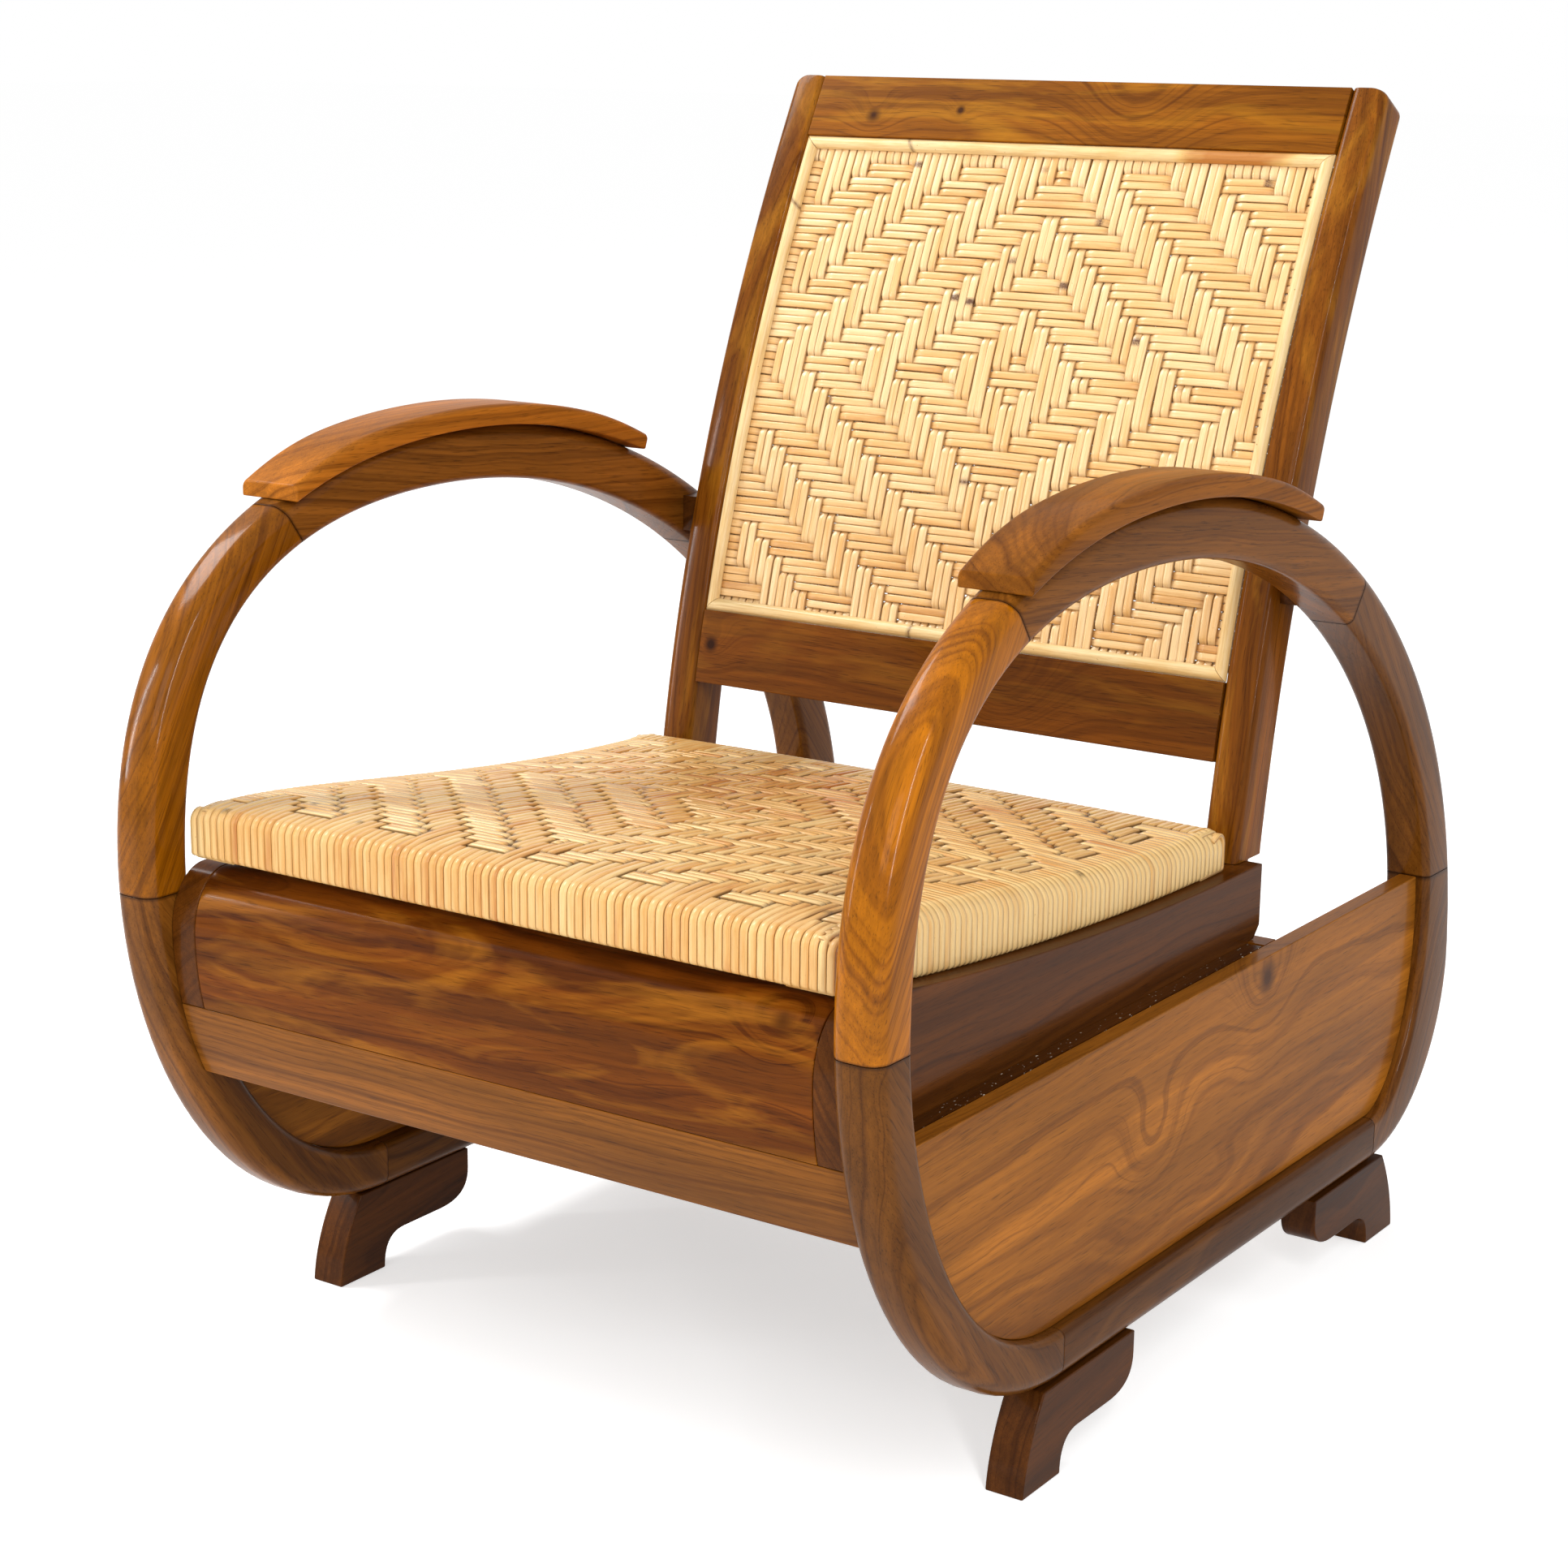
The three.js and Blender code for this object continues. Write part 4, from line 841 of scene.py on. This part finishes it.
def add_to_back(strands, x, v, height, lateral, tint, width, spread):
    """Adds one strand, with dark nodes on top, and shaded and a little narrower where it goes down."""
    point = on_back(v, MIDDLE_DEPTH - WAVE * height)
    line = np.stack([x, point.real, point.imag], -1)
    dark = marks(x, v, BACK_NODES, NODE_REACH) * (height > 0.2)
    # Painted shade where the strand goes down under its neighbours.
    dark = np.maximum(dark, 0.25 * unit((0.5 - height) / 0.45))
    width = (width + wander(len(height), spread)) * (1 - 0.03 * unit((1 - height) / 1.4))
    strands.add(line, lateral, width, THIN, tint, dark)


up_strands, cross_strands = Strands(8), Strands(8)
half_x = POST_INNER - GAP - 1
for i in range(columns[0] - 1, columns[-1] + 2):
    cells = range(rows[0] - 1, rows[-1] + 3)
    signs = [-1 if back_over(i, j) else 1 for j in cells]
    place, height = weave_profile(signs, PER)
    v = BACK_V + (cells[0] - 0.5 + place) * PITCH_V
    keep = (v > OPENING[0] + 1) & (v < OPENING[1] - 1)
    v, height = v[keep], height[keep]
    for half in (-1, 1):
        x = BACK_X + i * PITCH_X + half * PAIR_X + wander(len(v), 0.35)
        if np.abs(x).max() > half_x - 3:
            continue
        tint = tint_for(0.20, 0.13) + wander(len(v), 0.08)
        add_to_back(up_strands, x, v, height, (1, 0, 0), tint, 6.8, 0.15)
for j in range(rows[0] - 1, rows[-1] + 2):
    cells = range(columns[0] - 1, columns[-1] + 2)
    signs = [1 if back_over(i, j) else -1 for i in cells]
    place, height = weave_profile(signs, PER)
    x = BACK_X + (cells[0] - 0.5 + place) * PITCH_X
    keep = np.abs(x) < half_x
    x, height = x[keep], height[keep]
    x = np.concatenate([[-half_x], x, [half_x]])
    height = np.concatenate([height[:1], height, height[-1:]])
    for half in (-1, 1):
        v = BACK_V + j * PITCH_V + half * PAIR_V + wander(len(x), 0.25)
        if v.min() < OPENING[0] + 3.5 or v.max() > OPENING[1] - 3.5:
            continue
        tangent = on_table(v, bow_tangent)
        lateral = np.stack([np.zeros(len(v)), tangent.real, tangent.imag], -1)
        tint = tint_for(0.38, 0.15) + wander(len(x), 0.08)
        add_to_back(cross_strands, x, v, height, lateral, tint, 6.0, 0.12)
back_cane = rattan("cane_back", srgb(246, 211, 155), srgb(234, 184, 114), srgb(204, 144, 78), coat=0.4,
                   edge_shade_share=0.6)
up_strands.build("back_strands_up", back_cane, node="back_weave", slot="back_rattan")
cross_strands.build("back_strands_across", back_cane, node="back_weave", slot="back_rattan")

# Beads round the back's panel, proud of the rails by 0.8 mm
BEAD_DEPTH = PANEL_DEPTH + 0.8 - GAP
bead_cane = rattan("cane_bead", srgb(240, 214, 160), srgb(228, 186, 116), srgb(190, 124, 56), gloss=0.36)
bead_section = [(-0.25, 0), (-0.25, 1.4)]
bead_section += [(5 * (1 - math.cos(a)), BEAD_DEPTH * math.sin(a)) for a in evenly(0, math.pi, 12)[2:]]
bead_edge = POST_INNER - GAP


def bead(name, node, shares, place, node_at, darkening=None):
    """One bead; place gives x and the distance up the bow at a share of its length, by the inset."""
    rings = []
    for share in shares:
        ring = []
        for inset, height in bead_section:
            x, distance = place(share, inset)
            point = on_back(distance, PANEL_DEPTH - GAP - height)
            ring.append((x, point.real, point.imag))
        rings.append(np.array(ring))
    size = len(bead_section)
    length = np.concatenate([[0], np.cumsum([np.linalg.norm(b[0] - a[0]) for a, b in zip(rings, rings[1:])])])
    seed = rng.uniform(0, 1)
    strand = [(length[r] * MM + seed, (k / (size - 1) - 0.5) * 0.4, seed)
              for r in range(len(rings)) for k in range(size)]
    dark = 0.85 * np.exp(-(((length - node_at) / 1.6) ** 2))
    tint = np.full(len(rings), 0.2)
    if darkening:
        tint += 0.9 * unit(1 - np.abs((length - darkening[0]) / darkening[1]) ** 3)
    extra = {"strand": np.array(strand), "tint": np.repeat(tint, size), "mark_and_shade": np.repeat(dark, size)}
    loft(name, rings, bead_cane, node=node, slot="bead_rattan", extra=extra)


for side, sign in SIDES:
    def beside_post(share, inset):
        low, high = OPENING[0] + GAP + inset, OPENING[1] - GAP - inset
        return sign * (bead_edge - inset), low + (high - low) * share

    bead(f"cane_bead_side_{side}", f"bead_side_{side}", evenly(0, 1, 240), beside_post,
         96.0 if sign > 0 else 338.0)
for name, edge, way, node_at, darkening in (("bottom", OPENING[0], 1, 191.0, None),
                                        ("top", OPENING[1], -1, 96.0, (386.0, 52.0))):
    def beside_rail(share, inset):
        return share * (bead_edge - inset - GAP), edge + way * inset

    bead(f"cane_bead_{name}", f"bead_{name}", evenly(-1, 1, 240), beside_rail, node_at, darkening)

# Seat weave: strands wrap round all four edges and cross in the same twill on top
EDGE, SIDE_EDGE = 9.0, 14.0
SWELL, DOME = 12, 8.5
STRAND = 3.2
SEAT_PITCH_X, SEAT_PITCH_Y = 12.31, 12.74
SEAT_PAIR_X, SEAT_PAIR_Y = 3.08, 3.1
SEAT_ROW = -119.0
# How far under the seat the last points of a strand lie
UNDER = (36.0, 20.0)
SMALL_BEND = 2.0


def rise_at(y, rise, fall):
    share = unit((y - SEAT_FRONT_Y) / SEAT_DEPTH)
    peak = rise / (rise + fall)
    return share ** rise * (1 - share) ** fall / (peak ** rise * (1 - peak) ** fall)


def turned(distance, radius):
    inside = np.clip(radius - distance, 0, radius)
    return radius - np.sqrt(radius ** 2 - inside ** 2)


def seat_top(x, y):
    swell = SWELL * rise_at(y, 0.5, 2)
    dome = DOME * rise_at(y, 0.8, 0.6) * (1 - np.abs(x / SEAT_HALF) ** 3)
    return seat_low(y) + SEAT_THICKNESS + swell + dome


seat_columns, seat_rows = range(-20, 21), range(-21, 18)


def seat_over(i, j):
    """True where the strands that run across show, False where those that run along show."""
    if j <= seat_rows[1] or j >= seat_rows[-2]:
        return False
    if abs(i) >= seat_columns[-2]:
        return True
    return (abs(i) + abs(j) + 4) % 6 < 3


def arc(x, z, radius, start, end, count):
    """Points round a centre, between angles in quarter turns."""
    return [(x + radius * math.cos(a), z + radius * math.sin(a))
            for a in np.linspace(start, end, count) * math.pi / 2]


def edge_path(edge, way, top_of, low_of, radius):
    """Path of a strand from under one edge, up and round to the top; way points into the seat."""
    low, top = low_of(edge) + INSET, top_of(edge + way * radius) - radius
    path = [(v, low_of(edge + way * v) + INSET) for v in UNDER]
    path += arc(INSET + SMALL_BEND, low + SMALL_BEND, SMALL_BEND, 3, 2, 4)
    path += [(INSET, z) for z in np.linspace(low + SMALL_BEND, top, 6)[1:-1]]
    path += arc(radius, top, radius - INSET, 2, 1, 7)
    return [(edge + way * v, z) for v, z in path]


def band_path(start, end, top_of, low_of, radius, level, places):
    """Path of a strand round a band: under the start edge, up, over the top, down and under the end edge."""
    places = places[(places > start + radius + 1) & (places < end - radius - 1)]
    path = edge_path(start, 1, top_of, low_of, radius)
    path += [(p, top_of(p) - INSET + level(p)) for p in places]
    return np.array(path + edge_path(end, -1, top_of, low_of, radius)[::-1])


along_strands, over_strands = Strands(6), Strands(6)
SEAT_PER = 4
INSET = STRAND / 2
DIP = 3.3
SEAT_NODES = np.stack([rng.uniform(-250, 250, 34), rng.uniform(-395, 100, 34)], -1)


def seat_look(x, y, level):
    """Wander, width, tint and darkness along one strand: open and worn on top, tight at the edges."""
    open_share = unit((SEAT_HALF - 16 - np.abs(x)) / 10) * unit((y - SEAT_FRONT_Y - 14) / 10)
    open_share = open_share * unit((SEAT_REAR_Y - 14 - y) / 10)
    spread = wander(len(x), 0.15) + wander(len(x), 0.85, 14) * open_share
    dip = unit(-level / DIP * 1.4)
    width = 6.1 - open_share * (0.35 + 1.7 * dip)
    worn = np.exp(-(((x + 10) / 170) ** 2 + ((y + 60) / 130) ** 2))
    tint = tint_for(0.32, 0.10) + open_share * (0.34 * worn - 0.04 + wander(len(x), 0.18, 14))
    # Painted shade in the open part of the top, where a strand dives under its neighbours.
    shade = unit((0.92 - (1 + 2 * level / DIP)) / 0.45) * open_share
    dark = np.maximum(0.6 * marks(x, y, SEAT_NODES, 3.0) * (dip < 0.3), shade)
    # Painted light: the side wraps are tinted paler, as the lamps leave those faces in shade. The front wraps
    # are tinted a little browner.
    tint = tint + 0.12 * (y < SEAT_FRONT_Y + 9) - 0.32 * (np.abs(x) > SEAT_HALF - 12)
    return spread, width, tint, dark


all_rows = range(seat_rows[0] - 2, seat_rows[-1] + 3)
all_columns = range(seat_columns[0] - 2, seat_columns[-1] + 3)
columns_x = [(i * SEAT_PITCH_X + half * SEAT_PAIR_X, i) for i in seat_columns for half in (-1, 1)]
for x, i in columns_x:
    signs = [-1 if seat_over(i, j) else 1 for j in all_rows]
    place, height = weave_profile(signs, SEAT_PER)
    ys = SEAT_ROW + (all_rows[0] - 0.5 + place) * SEAT_PITCH_Y
    side_drop = float(turned(SEAT_HALF - abs(x), SIDE_EDGE))

    def top_of(y):
        return seat_top(x, y) - side_drop

    def level(y):
        return (np.interp(y, ys, height) - 1) / 2 * DIP

    path = band_path(SEAT_FRONT_Y, SEAT_REAR_Y, top_of, seat_low, EDGE, level, ys)
    spread, width, tint, dark = seat_look(np.full(len(path), x), path[:, 0], level(path[:, 0]))
    line = np.stack([x + spread, path[:, 0], path[:, 1]], -1)
    along_strands.add(line, (1, 0, 0), width, STRAND, tint, dark)
# A short strand fills each corner
for x in (-255.4, 255.4):
    for start, way in ((SEAT_FRONT_Y, 1), (SEAT_REAR_Y, -1)):
        path = edge_path(start, way, lambda y: float(seat_top(250.0, y)) - 2.0, seat_low, EDGE)
        path.append((path[-1][0] + way * 8.0, path[-1][1] - 3.0))
        line = [(x, y, z) for y, z in path]
        along_strands.add(line, (1, 0, 0), 5.9, STRAND, tint_for(0.2, 0.1))
rows_y = [(SEAT_ROW + j * SEAT_PITCH_Y + half * SEAT_PAIR_Y, j) for j in seat_rows for half in (-1, 1)]
for y, j in rows_y:
    signs = [1 if seat_over(i, j) else -1 for i in all_columns]
    place, height = weave_profile(signs, SEAT_PER)
    xs = (all_columns[0] - 0.5 + place) * SEAT_PITCH_X
    end_drop = float(turned(min(y - SEAT_FRONT_Y, SEAT_REAR_Y - y), EDGE))

    def top_of(x):
        return seat_top(x, y) - end_drop

    def low_of(x):
        return seat_low(y) + 0 * x

    def level(x):
        return (np.interp(x, xs, height) - 1) / 2 * DIP

    path = band_path(-SEAT_HALF, SEAT_HALF, top_of, low_of, SIDE_EDGE, level, xs)
    spread, width, tint, dark = seat_look(path[:, 0], np.full(len(path), y), level(path[:, 0]))
    line = np.stack([path[:, 0], y + spread, path[:, 1]], -1)
    over_strands.add(line, (0, 1, 0), width, STRAND, tint, dark)
seat_cane = rattan("cane_seat", srgb(238, 202, 138), srgb(224, 171, 98), srgb(188, 115, 50), coat=0.25,
                   edge_shade_share=0.75, darkening=(0.045, 0.016, 0.005))
along_strands.build("seat_strands_along", seat_cane, node="seat_weave", slot="seat_rattan", body="seat")
over_strands.build("seat_strands_across", seat_cane, node="seat_weave", slot="seat_rattan", body="seat")

# CAD pieces that keep their own meshes, with a wood and softer edges
inner = wood("sawn", SAWN, (1, 0, 0), 111, pith=(0.05, 0.05), gloss=0.55, glaze=0.0)
board = wood("board", POST_WOOD, (1, 0, 0), 114, pith=(0.09, 0.06), contrast=0.9)
dowel = wood("dowel", scaled(SAWN, 1.2), (0, 0, 1), 112, pith=(0.03, 0.03), gloss=0.5, glaze=0.0)
cleat = wood("cleat", RAIL_WOOD, (0, 1, 0), 113, pith=(0.04, 0.06), specks=0.02)
for name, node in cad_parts.items():
    if name.startswith("side_cleat"):
        material, edge = cleat, 1.0
    elif "dowel" in name:
        material, edge = dowel, 0.4
    elif name in ("seat_rear_rail", "rear_cross_board"):
        material, edge = board, 1.0
    elif name.startswith(("corner_block", "seat_frame")):
        material, edge = inner, 1.0
    else:
        continue
    node.data.materials.clear()
    node.data.materials.append(material)
    soften(node, edge)


# Floor, light and camera
def plainly_seen(net):
    """1 for rays from the camera, off gloss or through glass, else 0."""
    path = net.add("ShaderNodeLightPath")
    seen = net.maths("MAXIMUM", path.outputs["Is Camera Ray"], path.outputs["Is Transmission Ray"])
    return net.maths("MAXIMUM", seen, path.outputs["Is Glossy Ray"])


mesh = bpy.data.meshes.new("floor")
mesh.from_pydata([(-30, -30, 0), (30, -30, 0), (30, 30, 0), (-30, 30, 0)], [], [(0, 1, 2, 3)])
floor = placed("floor", mesh)
material, tree, shader = nodes_of("floor_white")
shader.inputs["Base Color"].default_value = (0.9, 0.9, 0.9, 1)
shader.inputs["Roughness"].default_value = 0.9
shader.inputs["Specular IOR Level"].default_value = 0.0
shader.inputs["Emission Color"].default_value = (1, 1, 1, 1)
net = Net(tree)
tree.links.new(net.times(plainly_seen(net), 0.5), shader.inputs["Emission Strength"])
mesh.materials.append(material)


def lamp(name, place, aim, size, power):
    light = bpy.data.lights.new(name, "AREA")
    light.shape = "RECTANGLE"
    light.size, light.size_y = size
    light.energy = power
    thing = placed(name, light)
    thing.location = place
    thing.rotation_euler = (Vector(aim) - Vector(place)).to_track_quat("-Z", "Y").to_euler()


lamp("key", (-2.5, -0.5, 3.2), (0, 0, 0.4), (1.5, 1.2), 88)
lamp("strip_right", (2.2, -2.0, 2.0), (0, 0, 0.4), (0.06, 2.4), 48)
lamp("strip_left", (-2.4, -2.1, 1.2), (0, 0, 0.5), (0.055, 1.5), 22)
lamp("front", (0.3, -3.4, 2.2), (0, 0, 0.4), (2.2, 1.4), 24)

scene = bpy.context.scene
world = bpy.data.worlds.new("studio")
scene.world = world
world.use_nodes = True
net = Net(world.node_tree)
# The world lights the chair at 0.55 and is seen as white
strength = net.maths("ADD", 0.55, net.times(plainly_seen(net), 0.45))
background = world.node_tree.nodes["Background"]
background.inputs["Color"].default_value = (1, 1, 1, 1)
world.node_tree.links.new(strength, background.inputs["Strength"])

# The camera, solved from the photo
AZIMUTH, ELEVATION, ROLL = (math.radians(v) for v in (34.36, 14.6, 0.61))
CAMERA_DISTANCE = 2.2746
target = Vector((-54.2, 6.6, 344.6)) * MM
back = Vector((math.sin(AZIMUTH) * math.cos(ELEVATION), -math.cos(AZIMUTH) * math.cos(ELEVATION),
               math.sin(ELEVATION)))
level_right = Vector((math.cos(AZIMUTH), math.sin(AZIMUTH), 0))
level_up = back.cross(level_right)
right = level_right * math.cos(ROLL) + level_up * math.sin(ROLL)
up = level_up * math.cos(ROLL) - level_right * math.sin(ROLL)
view = bpy.data.cameras.new("photo_camera")
view.sensor_width = 36
view.lens = 70.6
view.shift_x, view.shift_y = 0.0014, 0.0218
view.clip_end = 120
camera = placed("photo_camera", view)
turn = Matrix((right, up, back)).transposed().to_4x4()
camera.matrix_world = Matrix.Translation(target + back * CAMERA_DISTANCE) @ turn
scene.camera = camera
scene.view_settings.view_transform = "Standard"
